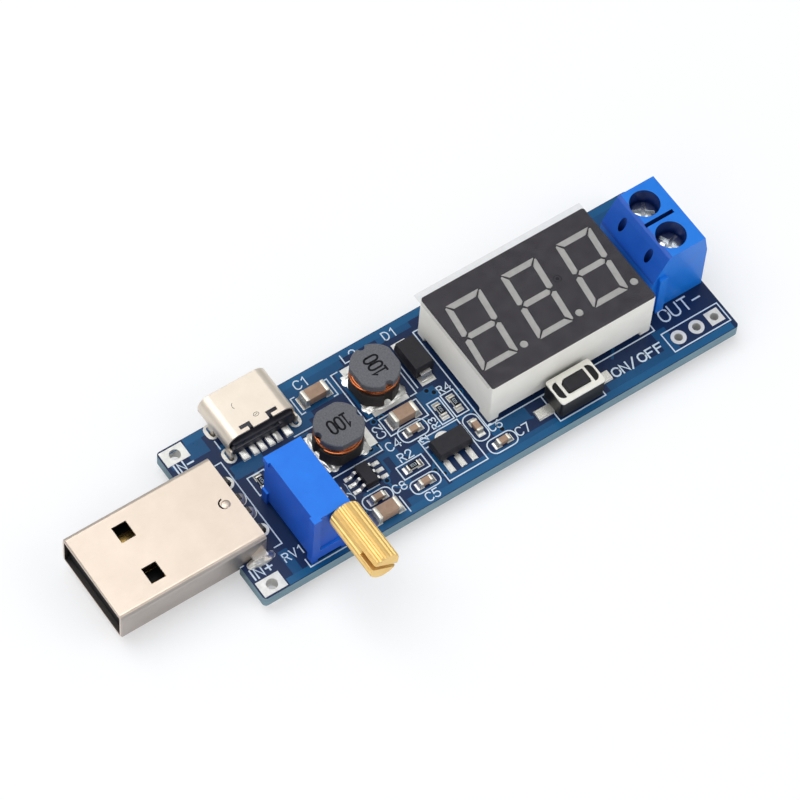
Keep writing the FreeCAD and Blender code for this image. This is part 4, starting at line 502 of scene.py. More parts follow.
SCREW_STEEL = Plating("screw_zinc", linear(186, 192, 198), linear(226, 230, 234), 0.18,
                      (900.0, 900.0, 300.0), 0.04)
LEAD_TIN = Plating("lead_tin", linear(204, 202, 198), linear(242, 240, 234), 0.26, (1500.0, 1500.0, 1500.0),
                   0.08, metallic=0.8)
GOLD_CONTACT = Plating("gold_contact", linear(196, 160, 92), linear(226, 192, 120), 0.25,
                       (900.0, 7000.0, 7000.0), 0.08)
BRASS = Plating("turned_brass", linear(236, 198, 124), linear(248, 216, 146), 0.5,
                (9000.0, 900.0, 9000.0), 0.1, 420.0, 0.8)
COPPER = Plating("enamelled_copper", linear(158, 78, 42), linear(222, 134, 82), 0.22,
                 (1200.0, 1200.0, 1200.0), 0.04, 1100.0, 0.9)
TERMINAL_BLUE = Moulding("terminal_blue", linear(12, 112, 214), linear(20, 124, 226), 0.4, 420.0, coat=0.15,
                         glow=0.08)
# Painted shade: darker blue for the terminal's sloped face and its wells.
TERMINAL_SHADED_SLOPE = Moulding("terminal_blue_painted_shade_slope", linear(16, 78, 176), linear(24, 90, 188), 0.4, 420.0,
                          coat=0.1, glow=0.08)
TERMINAL_WELL_SHADE = Moulding("terminal_blue_painted_shade_well", linear(10, 40, 104), linear(16, 52, 122), 0.45, 420.0)
ADJUSTER_BLUE = Moulding("adjuster_blue", linear(26, 114, 224), linear(34, 126, 236), 0.45, 420.0,
                         glow=0.05)
# Painted shade: darker blue for the adjuster's sides.
ADJUSTER_SHADED_SIDE = Moulding("adjuster_blue_painted_shade_side", linear(20, 78, 184), linear(28, 90, 196), 0.45, 420.0,
                         glow=0.05)
BLACK = Moulding("black_moulding", linear(14, 14, 17), linear(24, 24, 27), 0.42, 900.0, shine=0.25)
SOCKET_BLACK = Moulding("socket_block_black", linear(38, 38, 46), linear(50, 50, 58), 0.35, 900.0,
                        shine=0.3)
CHIP_BLACK = Moulding("chip_black", linear(34, 33, 38), linear(44, 43, 48), 0.5, 1500.0, 7000.0, 0.3,
                      shine=0.25)
METER_WHITE = Moulding("meter_housing_white", linear(244, 241, 232), linear(251, 248, 240), 0.5, 420.0,
                       glow=0.1)
METER_FACE = Moulding("meter_face_grey", linear(56, 53, 58), linear(76, 73, 77), 0.55, 700.0, 3000.0, 0.2,
                      shine=0.15)
METER_LIGHT = Moulding("meter_window", linear(178, 176, 173), linear(196, 194, 190), 0.45, 1400.0, glow=0.1)
FILM = ClearFilm("meter_film_clear")
FERRITE = Ferrite("coil_ferrite", linear(58, 59, 64), linear(118, 119, 125))
# Darker, browner ferrite for the lower half of each core.
FERRITE_LOWER_DARK = Ferrite("coil_ferrite_lower_dark", linear(30, 27, 26), linear(58, 52, 49))
# Painted shade: dark fill that stands for the shade inside via holes, the meter's pressed ring and the
# coils' sunk value.
HOLLOW_SHADE = Moulding("painted_hollow_shade", linear(20, 20, 23), linear(32, 32, 36), 0.75, 2000.0, shine=0.1)
CAPACITOR = Moulding("capacitor_ceramic", linear(150, 123, 103), linear(176, 149, 128), 0.5, 1500.0,
                     6000.0, 0.2, shine=0.2)
CAP_END = Plating("capacitor_end", linear(214, 210, 198), linear(242, 238, 226), 0.36,
                  (2000.0, 2000.0, 2000.0), 0.08, 900.0, 0.75)
RESISTOR = Moulding("resistor_coat", linear(11, 11, 13), linear(20, 20, 23), 0.4, 1500.0, shine=0.15)
ALUMINA = Moulding("resistor_base_white", linear(206, 206, 200), linear(228, 228, 222), 0.6, 1500.0)
CARRIER = Moulding("carrier_board", linear(186, 184, 160), linear(200, 198, 174), 0.6, 900.0)
WHEEL_WHITE = Moulding("wheel_nylon", linear(226, 224, 214), linear(238, 236, 226), 0.5, 900.0)


# Mesh work


def cuboid(bm: bmesh.types.BMesh, low: Vector, high: Vector) -> list[bmesh.types.BMVert]:
    """Adds a box between two corners, in metres.

    Args:
        bm: The mesh to add to.
        low: Lowest corner.
        high: Highest corner.

    Returns:
        The box's vertices.
    """
    middle, size = (low + high) / 2, high - low
    matrix = Matrix.Translation(middle) @ Matrix.Diagonal((*size, 1.0))
    return bmesh.ops.create_cube(bm, size=1.0, matrix=matrix)["verts"]


def rod(bm: bmesh.types.BMesh, low: Vector, high: Vector, radius: float, sides: int) -> None:
    """Adds an upright round rod, in metres.

    Args:
        bm: The mesh to add to.
        low: Middle of the lower end.
        high: Middle of the upper end.
        radius: Radius of the rod.
        sides: Number of flat sides.
    """
    bmesh.ops.create_cone(bm, cap_ends=True, segments=sides, radius1=radius, radius2=radius,
                          depth=(high - low).length, matrix=Matrix.Translation((low + high) / 2))


def ribbon(bm: bmesh.types.BMesh, points: Sequence[Vector], width: float, height: float,
           closed: bool = False) -> None:
    """Adds a flat strip with mitred corners, such as a printed line or a copper track.

    Args:
        bm: The mesh to add to.
        points: Middle line of the strip at its underside, in metres.
        width: Width of the strip.
        height: Thickness of the strip.
        closed: Whether the end joins the start.
    """
    spots = [point for i, point in enumerate(points) if i == 0 or (point - points[i - 1]).length > 1e-7]
    if closed and (spots[0] - spots[-1]).length < 1e-7:
        spots.pop()
    if not closed:
        first, last = (spots[0] - spots[1]).normalized(), (spots[-1] - spots[-2]).normalized()
        spots[0], spots[-1] = spots[0] + first * width / 2, spots[-1] + last * width / 2
    count = len(spots)
    pairs = []
    for i, spot in enumerate(spots):
        steps = []
        if closed or i > 0:
            steps.append((spot - spots[i - 1]).normalized())
        if closed or i < count - 1:
            steps.append((spots[(i + 1) % count] - spot).normalized())
        across = Vector((-steps[-1].y, steps[-1].x, 0))
        mitre = sum((Vector((-step.y, step.x, 0)) for step in steps), Vector()).normalized()
        reach = mitre * (width / 2 / max(mitre.dot(across), 0.5))
        pairs.append((bm.verts.new(spot + reach), bm.verts.new(spot - reach)))
    after = pairs[1:] + pairs[:1] if closed else pairs[1:]
    faces = [bm.faces.new((*near, *far[::-1])) for near, far in zip(pairs, after)]
    made = bmesh.ops.extrude_face_region(bm, geom=faces)["geom"]
    top = [item for item in made if isinstance(item, bmesh.types.BMVert)]
    bmesh.ops.translate(bm, verts=top, vec=(0, 0, height))


def tube(bm: bmesh.types.BMesh, points: Sequence[Vector], radius: float, sides: int = 8) -> None:
    """Adds a round wire along a path, in metres.

    Args:
        bm: The mesh to add to.
        points: Middle line of the wire.
        radius: Radius of the wire.
        sides: Number of flat sides.
    """
    places = []
    for before, point, after in zip([points[0], *points], points, [*points[1:], points[-1]]):
        along = (after - before).normalized()
        across = along.cross(Vector((0, 0, 1)))
        across = across.normalized() if across.length > 1e-3 else Vector((1, 0, 0))
        turn = Matrix((across, along.cross(across), along)).transposed().to_4x4()
        places.append(Matrix.Translation(point) @ turn)
    ring = bmesh.ops.create_circle(bm, cap_ends=True, segments=sides, radius=radius, matrix=places[0])
    end = ring["verts"][0].link_faces[0]
    for before, place in zip(places, places[1:]):
        made = bmesh.ops.extrude_face_region(bm, geom=[end, *end.edges])["geom"]
        end = next(item for item in made if isinstance(item, bmesh.types.BMFace))
        bmesh.ops.transform(bm, matrix=place @ before.inverted(), verts=end.verts)


def lathe(bm: bmesh.types.BMesh, centre: Vector, profile: Sequence[Point], steps: int = 20) -> None:
    """Adds a body turned about the vertical through a point.

    Args:
        bm: The mesh to add to.
        centre: Point on the axis, in metres.
        profile: Radius and height of each point of the outline, in millimetres.
        steps: Number of steps round the axis.
    """
    verts = [bm.verts.new(centre + Vector((radius, 0, height)) * MM) for radius, height in profile]
    edges = [bm.edges.new(pair) for pair in zip(verts, verts[1:])]
    before = set(bm.verts) - set(verts)
    bmesh.ops.spin(bm, geom=verts + edges, cent=centre, axis=(0, 0, 1), angle=2 * math.pi, steps=steps,
                   use_merge=True)
    bmesh.ops.remove_doubles(bm, verts=list(set(bm.verts) - before), dist=1e-8)


def rounded_box(bm: bmesh.types.BMesh, low: Vector, high: Vector, radius: float, slot: int = 0,
                segments: int = 2) -> None:
    """Adds a box with rounded edges and one finish, in metres.

    Args:
        bm: The mesh to add to.
        low: Lowest corner.
        high: Highest corner.
        radius: How far the rounding reaches.
        slot: Number of the finish.
        segments: Steps of the rounding.
    """
    before = set(bm.faces)
    verts = cuboid(bm, low, high)
    edges = list(dict.fromkeys(edge for vert in verts for edge in vert.link_edges))
    bmesh.ops.bevel(bm, geom=edges, offset=radius, segments=segments, profile=0.5, affect="EDGES",
                    material=-1)
    for face in set(bm.faces) - before:
        face.material_index = slot


def mound(bm: bmesh.types.BMesh, low: Vector, high: Vector, cells: int, ripple: float, seed: float) -> None:
    """Adds a pool of solder that swells from its rim to an uneven crown, in metres.

    Args:
        bm: The mesh to add to.
        low: Lowest corner of the pool's box.
        high: Highest corner of the pool's box.
        cells: Cells along each side.
        ripple: Share of the height that the crown wanders.
        seed: Shifts the wandering.
    """
    middle, half = (low + high) / 2, (high - low) / 2
    for vert in bmesh.ops.create_grid(bm, x_segments=cells, y_segments=cells, size=1.0)["verts"]:
        u, v, _ = vert.co
        swell = max(0.0, 1 - max(abs(u), abs(v)) ** 2.2)
        wave = math.sin(5.1 * u + 3.7 * v + seed) * math.cos(4.3 * v - 2.9 * u + seed)
        wander = 1 - ripple + ripple * wave
        vert.co = (
            middle.x + u * math.sqrt(1 - v * v / 2) * half.x,
            middle.y + v * math.sqrt(1 - u * u / 2) * half.y,
            low.z + 2 * half.z * swell * wander,
        )


def loose_parts(bm: bmesh.types.BMesh) -> list[list[bmesh.types.BMVert]]:
    """The vertices of each separate lump of a mesh, in the mesh's own order."""
    seen: set[bmesh.types.BMVert] = set()
    lumps = []
    for start in bm.verts:
        if start in seen:
            continue
        seen.add(start)
        queue, lump = [start], [start]
        while queue:
            for edge in queue.pop().link_edges:
                for vert in edge.verts:
                    if vert not in seen:
                        seen.add(vert)
                        lump.append(vert)
                        queue.append(vert)
        lumps.append(lump)
    return lumps


def slabs(areas: Sequence[Area], gaps: Sequence[Area] = ()) -> list[Area]:
    """Rectangles that cover the same ground as overlapping ones, but lie side by side.

    Args:
        areas: The rectangles to cover, each as low x, low y, high x and high y.
        gaps: Rectangles to leave free.

    Returns:
        The rectangles that lie side by side.
    """
    lines = sorted({x for area in (*areas, *gaps) for x in (area[0], area[2])})
    found = []
    for x0, x1 in zip(lines, lines[1:]):
        spans: list[list[float]] = []
        for low, high in sorted((area[1], area[3]) for area in areas if area[0] <= x0 and area[2] >= x1):
            if spans and low <= spans[-1][1]:
                spans[-1][1] = max(spans[-1][1], high)
            else:
                spans.append([low, high])
        for low, high in spans:
            for gap in sorted(gaps, key=lambda area: area[1]):
                if gap[0] <= x0 and gap[2] >= x1 and gap[1] < high and gap[3] > low:
                    if gap[1] > low:
                        found.append((x0, low, x1, gap[1]))
                    low = gap[3]
            if low < high:
                found.append((x0, low, x1, high))
    return found


def smooth_by_angle(mesh: bpy.types.Mesh, angle: float = SMOOTH_ANGLE) -> None:
    """Shades a mesh smooth, with edges sharp where its faces turn by more than an angle."""
    mesh.shade_smooth()
    mesh.set_sharp_from_angle(angle=angle)


def bevelled(obj: bpy.types.Object, width: float, segments: int = 2) -> None:
    """Rounds an object's sharp edges by a width in millimetres."""
    mod = obj.modifiers.new("edges", "BEVEL")
    mod.width = width * MM
    mod.segments = segments
    mod.limit_method = "ANGLE"
    mod.angle_limit = SMOOTH_ANGLE
    mod.miter_outer = "MITER_ARC"


@dataclass
class Piece:
    """One shown piece: its finishes, the body it rides on and what it stands for.

    A flat piece comes from the frame's own mesh, whose faces already point outward. A level piece has its
    faces along the axes shaded flat.
    """

    name: str
    finishes: Sequence[Finish]
    body: str = "module"
    stands_for: Sequence[str] = ()
    bevel: float = 0.0
    segments: int = 2
    angle: float = SMOOTH_ANGLE
    flat: bool = False
    level: bool = False

    def place(self, bm: bmesh.types.BMesh) -> bpy.types.Object:
        """Turns a mesh into the finished object.

        Args:
            bm: The mesh, in the frame's metres. It is freed.

        Returns:
            The object, riding on its body.
        """
        if not self.flat:
            bmesh.ops.recalc_face_normals(bm, faces=bm.faces)
        mesh = bpy.data.meshes.new(self.name)
        bm.to_mesh(mesh)
        bm.free()
        smooth_by_angle(mesh, self.angle)
        if self.level:
            for polygon in mesh.polygons:
                polygon.use_smooth = max(map(abs, polygon.normal)) < LEVEL_NORMAL
        for finish in self.finishes:
            mesh.materials.append(finish.material())
        obj = bpy.data.objects.new(self.name, mesh)
        bpy.context.collection.objects.link(obj)
        if self.bevel:
            bevelled(obj, self.bevel, self.segments)
        if self.bevel or self.flat:
            mod = obj.modifiers.new("flat_faces", "WEIGHTED_NORMAL")
            mod.keep_sharp = True
            mod.weight = 80
        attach(obj, self.body)
        if self.stands_for:
            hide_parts(*self.stands_for)
        log.info("placed %s with %d faces", self.name, len(mesh.polygons))
        return obj


def node_mesh(frame: dict, node: str, whole: bool = True) -> bmesh.types.BMesh:
    """A CAD node's shape as a joined mesh.

    Args:
        frame: The loaded frame.
        node: The node's name.
        whole: Whether the triangles of a flat face are joined.

    Returns:
        A new mesh in the frame's metres.
    """
    bm = bmesh.new()
    bm.from_mesh(frame["nodes"][node].data)
    bmesh.ops.remove_doubles(bm, verts=bm.verts, dist=2e-7)
    if whole:
        bmesh.ops.dissolve_limit(bm, angle_limit=math.radians(1.0), verts=bm.verts, edges=bm.edges)
    return bm


def dress(frame: dict, node: str, finish: Finish, bevel: float = 0.0, body: str = "module",
          choose: Callable[[bmesh.types.BMFace], int] | None = None,
          more: Sequence[Finish] = (), segments: int = 2, whole: bool = True) -> bpy.types.Object:
    """Shows a CAD node's own shape with rounded edges and its finishes.

    Args:
        frame: The loaded frame.
        node: The node's name.
        finish: The main finish.
        bevel: Width of the edge rounding in millimetres.
        body: The body that the piece rides on.
        choose: Picks a face's finish by its number, or None for the main one.
        more: Further finishes that choose can name.
        segments: Steps of the edge rounding.
        whole: Whether the triangles of a flat face are joined.

    Returns:
        The new object, in place of the node.
    """
    bm = node_mesh(frame, node, whole)
    if choose:
        for face in bm.faces:
            face.material_index = choose(face)
    piece = Piece(f"{node}_dressed", [finish, *more], body, [node], bevel, segments, flat=True,
                  level=not whole)
    return piece.place(bm)


# Printed letters


def arc(cx: float, cy: float, rx: float, ry: float, start: float, end: float,
        steps: int = 6) -> list[Point]:
    """Points along part of an oval, from a start angle to an end angle in degrees."""
    points = []
    for i in range(steps + 1):
        angle = math.radians(start + (end - start) * i / steps)
        points.append((cx + rx * math.cos(angle), cy + ry * math.sin(angle)))
    return points


GLYPH_WIDTH = 0.66
GLYPH_GAP = 0.24

GLYPHS: dict[str, list[list[Point]]] = {
    "0": [arc(0.33, 0.7, 0.33, 0.3, 0, 180) + arc(0.33, 0.3, 0.33, 0.3, 180, 360) + [(0.66, 0.7)]],
    "1": [[(0.12, 0.8), (0.36, 1.0), (0.36, 0.0)]],
    "2": [arc(0.33, 0.7, 0.32, 0.3, 170, -20) + [(0.0, 0.0), (0.66, 0.0)]],
    "3": [arc(0.3, 0.75, 0.32, 0.25, 150, -90), arc(0.3, 0.26, 0.34, 0.26, 90, -150)],
    "4": [[(0.5, 0.0), (0.5, 1.0), (0.0, 0.3), (0.66, 0.3)]],
    "5": [[(0.6, 1.0), (0.08, 1.0), (0.04, 0.56)] + arc(0.3, 0.32, 0.34, 0.32, 110, -150)],
    "6": [arc(0.33, 0.3, 0.32, 0.3, 180, -180, 12) + [(0.02, 0.45), (0.2, 0.85), (0.5, 1.0)]],
    "7": [[(0.0, 1.0), (0.64, 1.0), (0.24, 0.0)]],
    "8": [arc(0.33, 0.76, 0.27, 0.24, 0, 360, 10), arc(0.33, 0.27, 0.33, 0.27, 0, 360, 10)],
    "C": [arc(0.36, 0.66, 0.35, 0.34, 30, 180) + arc(0.36, 0.34, 0.35, 0.34, 180, 330)],
    "D": [[(0.0, 0.0), (0.0, 1.0), (0.26, 1.0)] + arc(0.26, 0.5, 0.38, 0.5, 80, -80)
          + [(0.26, 0.0), (0.0, 0.0)]],
    "F": [[(0.0, 0.0), (0.0, 1.0), (0.6, 1.0)], [(0.0, 0.52), (0.48, 0.52)]],
    "I": [[(0.2, 0.0), (0.2, 1.0)]],
    "L": [[(0.0, 1.0), (0.0, 0.0), (0.56, 0.0)]],
    "N": [[(0.0, 0.0), (0.0, 1.0), (0.62, 0.0), (0.62, 1.0)]],
    "O": [arc(0.35, 0.64, 0.35, 0.36, 0, 180) + arc(0.35, 0.36, 0.35, 0.36, 180, 360) + [(0.7, 0.64)]],
    "R": [[(0.0, 0.0), (0.0, 1.0), (0.3, 1.0)] + arc(0.32, 0.76, 0.28, 0.24, 80, -90) + [(0.0, 0.52)],
          [(0.3, 0.52), (0.62, 0.0)]],
    "T": [[(0.0, 1.0), (0.64, 1.0)], [(0.32, 1.0), (0.32, 0.0)]],
    "U": [[(0.0, 1.0), (0.0, 0.3)] + arc(0.33, 0.3, 0.33, 0.3, 180, 360) + [(0.66, 1.0)]],
    "V": [[(0.0, 1.0), (0.33, 0.0), (0.66, 1.0)]],
    "+": [[(0.05, 0.45), (0.65, 0.45)], [(0.35, 0.75), (0.35, 0.15)]],
    "-": [[(0.05, 0.45), (0.65, 0.45)]],
    "/": [[(0.0, -0.08), (0.5, 1.08)]],
}
CAST_GLYPHS: dict[str, list[list[Point]]] = {
    "0": [arc(0.33, 0.72, 0.33, 0.28, 0, 180) + arc(0.33, 0.28, 0.33, 0.28, 180, 360) + [(0.66, 0.72)]],
    "1": [[(0.1, 0.78), (0.32, 1.0), (0.32, 0.0)], [(0.08, 0.0), (0.56, 0.0)]],
}
NARROW = {"I": 0.3, "1": 0.5}


def word_width(word: str) -> float:
    """Width of a word of height 1."""
    widths = [NARROW.get(letter, GLYPH_WIDTH) + GLYPH_GAP for letter in word]
    return sum(widths) - GLYPH_GAP


@dataclass(frozen=True)
class Word:
    """A printed word: where its lower left corner is, how tall it is and how it is turned."""

    text: str
    x: float
    y: float
    height: float = 1.1
    turn: float = 0.0
    line: float = PRINT_LINE
    stretch: float = 1.0
    cast: bool = False

    def write(self, bm: bmesh.types.BMesh, datum: Datum, z: float, thickness: float) -> None:
        """Adds the word's strokes to a mesh.

        Args:
            bm: The mesh to add to.
            datum: Where places are given from.
            z: Height of the ink's underside in millimetres.
            thickness: Thickness of the ink in millimetres.
        """
        turn = Matrix.Rotation(math.radians(self.turn), 4, "Z")
        along = 0.0
        lift = 0.0
        for letter in self.text:
            glyphs = CAST_GLYPHS if self.cast else GLYPHS
            for stroke in glyphs.get(letter, []):
                spots = []
                for px, py in stroke:
                    flat = Vector(((px + along) * self.height * self.stretch, py * self.height, 0.0))
                    spot = turn @ flat
                    spots.append(datum.point(self.x + spot.x, self.y + spot.y, z))
                ribbon(bm, spots, self.line * MM, (thickness + lift) * MM)
                lift += PRINT_STEP
            along += NARROW.get(letter, GLYPH_WIDTH) + GLYPH_GAP


@dataclass(frozen=True)
class Outline:
    """A printed line through points, closed or open."""

    points: Sequence[Point]
    closed: bool = False
    line: float = PRINT_LINE

    def draw(self, bm: bmesh.types.BMesh, datum: Datum, top: float) -> None:
        """Adds the line to a mesh, up to a height in millimetres."""
        spots = [datum.point(x, y, PRINT_LOW) for x, y in self.points]
        ribbon(bm, spots, self.line * MM, (top - PRINT_LOW) * MM, self.closed)


def frame_line(x0: float, y0: float, x1: float, y1: float) -> Outline:
    """Printed rectangle."""
    return Outline([(x0, y0), (x1, y0), (x1, y1), (x0, y1)], True)


def capsule(x0: float, y0: float, x1: float, y1: float, radius: float) -> Outline:
    """Printed rectangle with round corners."""
    points: list[Point] = []
    corners = [(x1 - radius, y1 - radius, 0), (x0 + radius, y1 - radius, 90),
               (x0 + radius, y0 + radius, 180), (x1 - radius, y0 + radius, 270)]
    for cx, cy, start in corners:
        points += arc(cx, cy, radius, radius, start, start + 90, 4)
    return Outline(points, True)


def bracket(x0: float, y0: float, x1: float, y1: float, lip: float) -> list[Outline]:
    """Two printed brackets that stand at the ends of a chip part."""
    return [
        Outline([(x0 + lip, y0), (x0, y0), (x0, y1), (x0 + lip, y1)]),
        Outline([(x1 - lip, y0), (x1, y0), (x1, y1), (x1 - lip, y1)]),
    ]


# Sub-assemblies


@dataclass
class CircuitBoard:
    """The board, its copper areas under the lacquer, its vias, its pads and its solder."""

    rim: float = 0.9
    rim_from_edge: float = 0.08
    rim_ends: Point = (3.4, 0.6)
    edge_reach: float = 0.3
    notch: Area = (0.0, 4.9, 3.7, 17.1)
    via_radius: float = 0.26
    via_rim: float = 0.16
    copper: float = 0.008
    rim_level: float = 1.5
    ring_level: float = 2.0
    ring_sides: int = 20
    well_level: float = 2.4
    well_sides: int = 16
    track_rise: float = 0.003
    track_step: float = 0.0005
    pad_edge: float = 0.015
    cone: Sequence[Point] = ((0.0, 0.0), (0.3, 0.02), (0.42, 0.12), (0.47, 0.34), (0.56, 0.6), (0.74, 0.84),
                             (1.0, 1.0))
    cone_steps: int = 18
    dome: Sequence[Point] = ((0.0, 0.82), (0.26, 0.78), (0.5, 0.64), (0.66, 0.4), (0.76, 0.0))
    dome_steps: int = 24
    dome_limit: float = 2.0
    pool_grow: tuple[float, float, float] = (0.05, 0.3, 0.0)
    pool_rise: float = 0.4
    pool_cells: int = 14
    pool_ripple: float = 0.2
    zones: Sequence[Area] = (
        (0.5, 19.0, 5.4, 21.2), (4.4, 0.8, 5.6, 4.2), (5.9, 14.2, 9.9, 16.0), (15.9, 17.2, 22.0, 21.2),
        (13.5, 15.5, 16.8, 17.4), (16.0, 16.4, 17.6, 17.6), (19.2, 20.0, 24.0, 21.2),
        (28.9, 20.2, 33.4, 21.2), (19.5, 8.8, 22.6, 9.6), (21.6, 5.6, 22.9, 9.6), (20.4, 7.6, 22.4, 8.3),
        (28.6, 9.8, 31.0, 12.6), (24.3, 6.6, 30.4, 7.3), (23.6, 5.9, 25.3, 7.3), (28.0, 7.0, 30.2, 8.2),
        (20.2, 0.9, 25.2, 2.0), (20.6, 3.4, 22.0, 4.0), (25.7, 0.9, 31.4, 1.9), (25.7, 1.9, 26.6, 5.2),
        (30.9, 1.0, 40.2, 1.6), (33.0, 3.0, 38.0, 4.8), (47.5, 1.0, 56.2, 2.0), (55.8, 1.0, 57.6, 4.6),
        (57.0, 17.2, 64.2, 21.2), (14.6, 0.9, 16.4, 1.7), (6.2, 17.0, 8.0, 19.0),
        (22.4, 12.6, 23.2, 20.8), (16.4, 4.8, 18.6, 5.1),
    )
    tracks: Sequence[Sequence[Point]] = (
        ((19.7, 5.15), (20.6, 6.0), (20.6, 7.7)), ((19.7, 5.15), (19.7, 4.3), (21.3, 2.9)),
        ((24.95, 3.7), (25.6, 4.4), (25.6, 6.8)), ((33.1, 10.2), (33.1, 7.6), (32.4, 7.2)),
        ((34.3, 3.6), (35.8, 3.6), (38.0, 3.0)), ((12.0, 13.4), (13.4, 15.0), (15.6, 15.0)),
        ((5.8, 14.5), (6.6, 15.6), (9.4, 15.6)), ((12.2, 5.0), (13.8, 5.0), (15.6, 6.6)),
        ((8.0, 13.9), (9.2, 15.2), (9.2, 16.0)), ((50.2, 4.4), (51.2, 5.6), (54.0, 5.6)),
        ((22.7, 8.6), (22.7, 7.4), (24.0, 6.0)), ((29.8, 7.8), (29.8, 7.3), (31.9, 7.3)),
    )
    hole_areas: Sequence[Area] = ((0.9, 19.1, 2.9, 21.1), (0.9, 0.9, 2.9, 2.9))
    track_width: float = 0.32
    vias: Sequence[Point] = (
        (20.45, 9.4), (21.45, 9.4), (19.6, 9.3), (19.7, 5.15), (30.0, 12.3), (30.6, 11.7), (27.7, 9.1),
        (24.95, 3.3), (25.6, 2.4), (15.3, 3.3), (22.7, 12.2), (33.1, 10.2), (34.3, 3.6), (23.8, 12.2),
    )

    def build(self, frame: dict, datum: Datum) -> None:
        """Adds the board, its copper, its pads, its vias and its solder."""
        self.add_board(frame, datum)
        self.add_copper(datum)
        self.add_vias(datum)
        dress(frame, "board_pads", TIN, self.pad_edge)
        self.add_joints(frame, datum)

    def add_board(self, frame: dict, datum: Datum) -> None:
        """The board, with lacquer on its faces, cut laminate round it and tin in its holes."""
        length, width = datum.length, datum.width

        def finish_of(face: bmesh.types.BMFace) -> int:
            """Lacquer on level faces, laminate on the outline and tin in the holes."""
            if abs(face.normal.z) > 0.5:
                return 0
            spot = (face.calc_center_median() - datum.corner) / MM
            outside = min(spot.x, spot.y, length - spot.x, width - spot.y) < self.edge_reach
            in_notch = spot.x < self.notch[2] and self.notch[1] < spot.y < self.notch[3]
            return 1 if outside or in_notch else 2

        dress(frame, "circuit_board", BOARD_DARK, choose=finish_of, more=[BOARD_EDGE, TIN])

    def add_copper(self, datum: Datum) -> None:
        """Copper areas, tracks and the pale rim, seen through the lacquer."""
        bm = bmesh.new()
        for x0, y0, x1, y1 in slabs(self.zones, self.hole_areas):
            cuboid(bm, datum.point(x0, y0, -self.copper), datum.point(x1, y1, self.copper))
        Piece("copper_areas", [BOARD_BLUE]).place(bm)
        bm = bmesh.new()
        for i, track in enumerate(self.tracks):
            spots = [datum.point(x, y, 0.0) for x, y in track]
            rise = self.copper + self.track_rise + self.track_step * i
            ribbon(bm, spots, self.track_width * MM, rise * MM)
        Piece("copper_tracks", [BOARD_BLUE]).place(bm)
        bm = bmesh.new()
        near, far = self.rim_from_edge, self.rim_from_edge + self.rim
        for y0, y1 in ((near, far), (datum.width - far, datum.width - near)):
            cuboid(bm, datum.point(self.rim_ends[0], y0, -self.copper),
                   datum.point(datum.length - self.rim_ends[1], y1, self.copper * self.rim_level))
        for spot in self.vias:
            top = datum.point(*spot, self.copper * self.ring_level)
            rod(bm, datum.point(*spot, -self.copper), top, (self.via_radius + self.via_rim) * MM,
                self.ring_sides)
        Piece("copper_rim", [BOARD_RIM]).place(bm)

    def add_vias(self, datum: Datum) -> None:
        """Small plated holes, as dark wells of painted shade with a lacquered rim."""
        bm = bmesh.new()
        for spot in self.vias:
            top = datum.point(*spot, self.copper * self.well_level)
            rod(bm, datum.point(*spot, 0.0), top, self.via_radius * MM, self.well_sides)
        Piece("via_wells", [HOLLOW_SHADE]).place(bm)

    def add_joints(self, frame: dict, datum: Datum) -> None:
        """Solder: hollow cones on the pins below, domes and pools on the board above."""
        source = node_mesh(frame, "solder_joints")
        grow, rise = Vector(self.pool_grow) * MM, Vector((0.0, 0.0, self.pool_rise)) * MM
        bm = bmesh.new()
        for number, lump in enumerate(loose_parts(source)):
            low = Vector(min(vert.co[k] for vert in lump) for k in range(3))
            high = Vector(max(vert.co[k] for vert in lump) for k in range(3))
            foot = Vector(((low.x + high.x) / 2, (low.y + high.y) / 2, low.z))
            if high.z < datum.corner.z:
                radius, height = (high.x - low.x) / 2 / MM, (high.z - low.z) / MM
                profile = [(radius * share, height * level) for share, level in self.cone]
                lathe(bm, foot, profile, self.cone_steps)
            elif high.x - low.x < self.dome_limit * MM:
                before = set(bm.faces)
                lathe(bm, foot, self.dome, self.dome_steps)
                for face in set(bm.faces) - before:
                    face.material_index = 1
            else:
                mound(bm, low - grow, high + grow + rise, self.pool_cells, self.pool_ripple, number)
        source.free()
        Piece("solder_made", [SOLDER, SOLDER_DOME], stands_for=["solder_joints"]).place(bm)


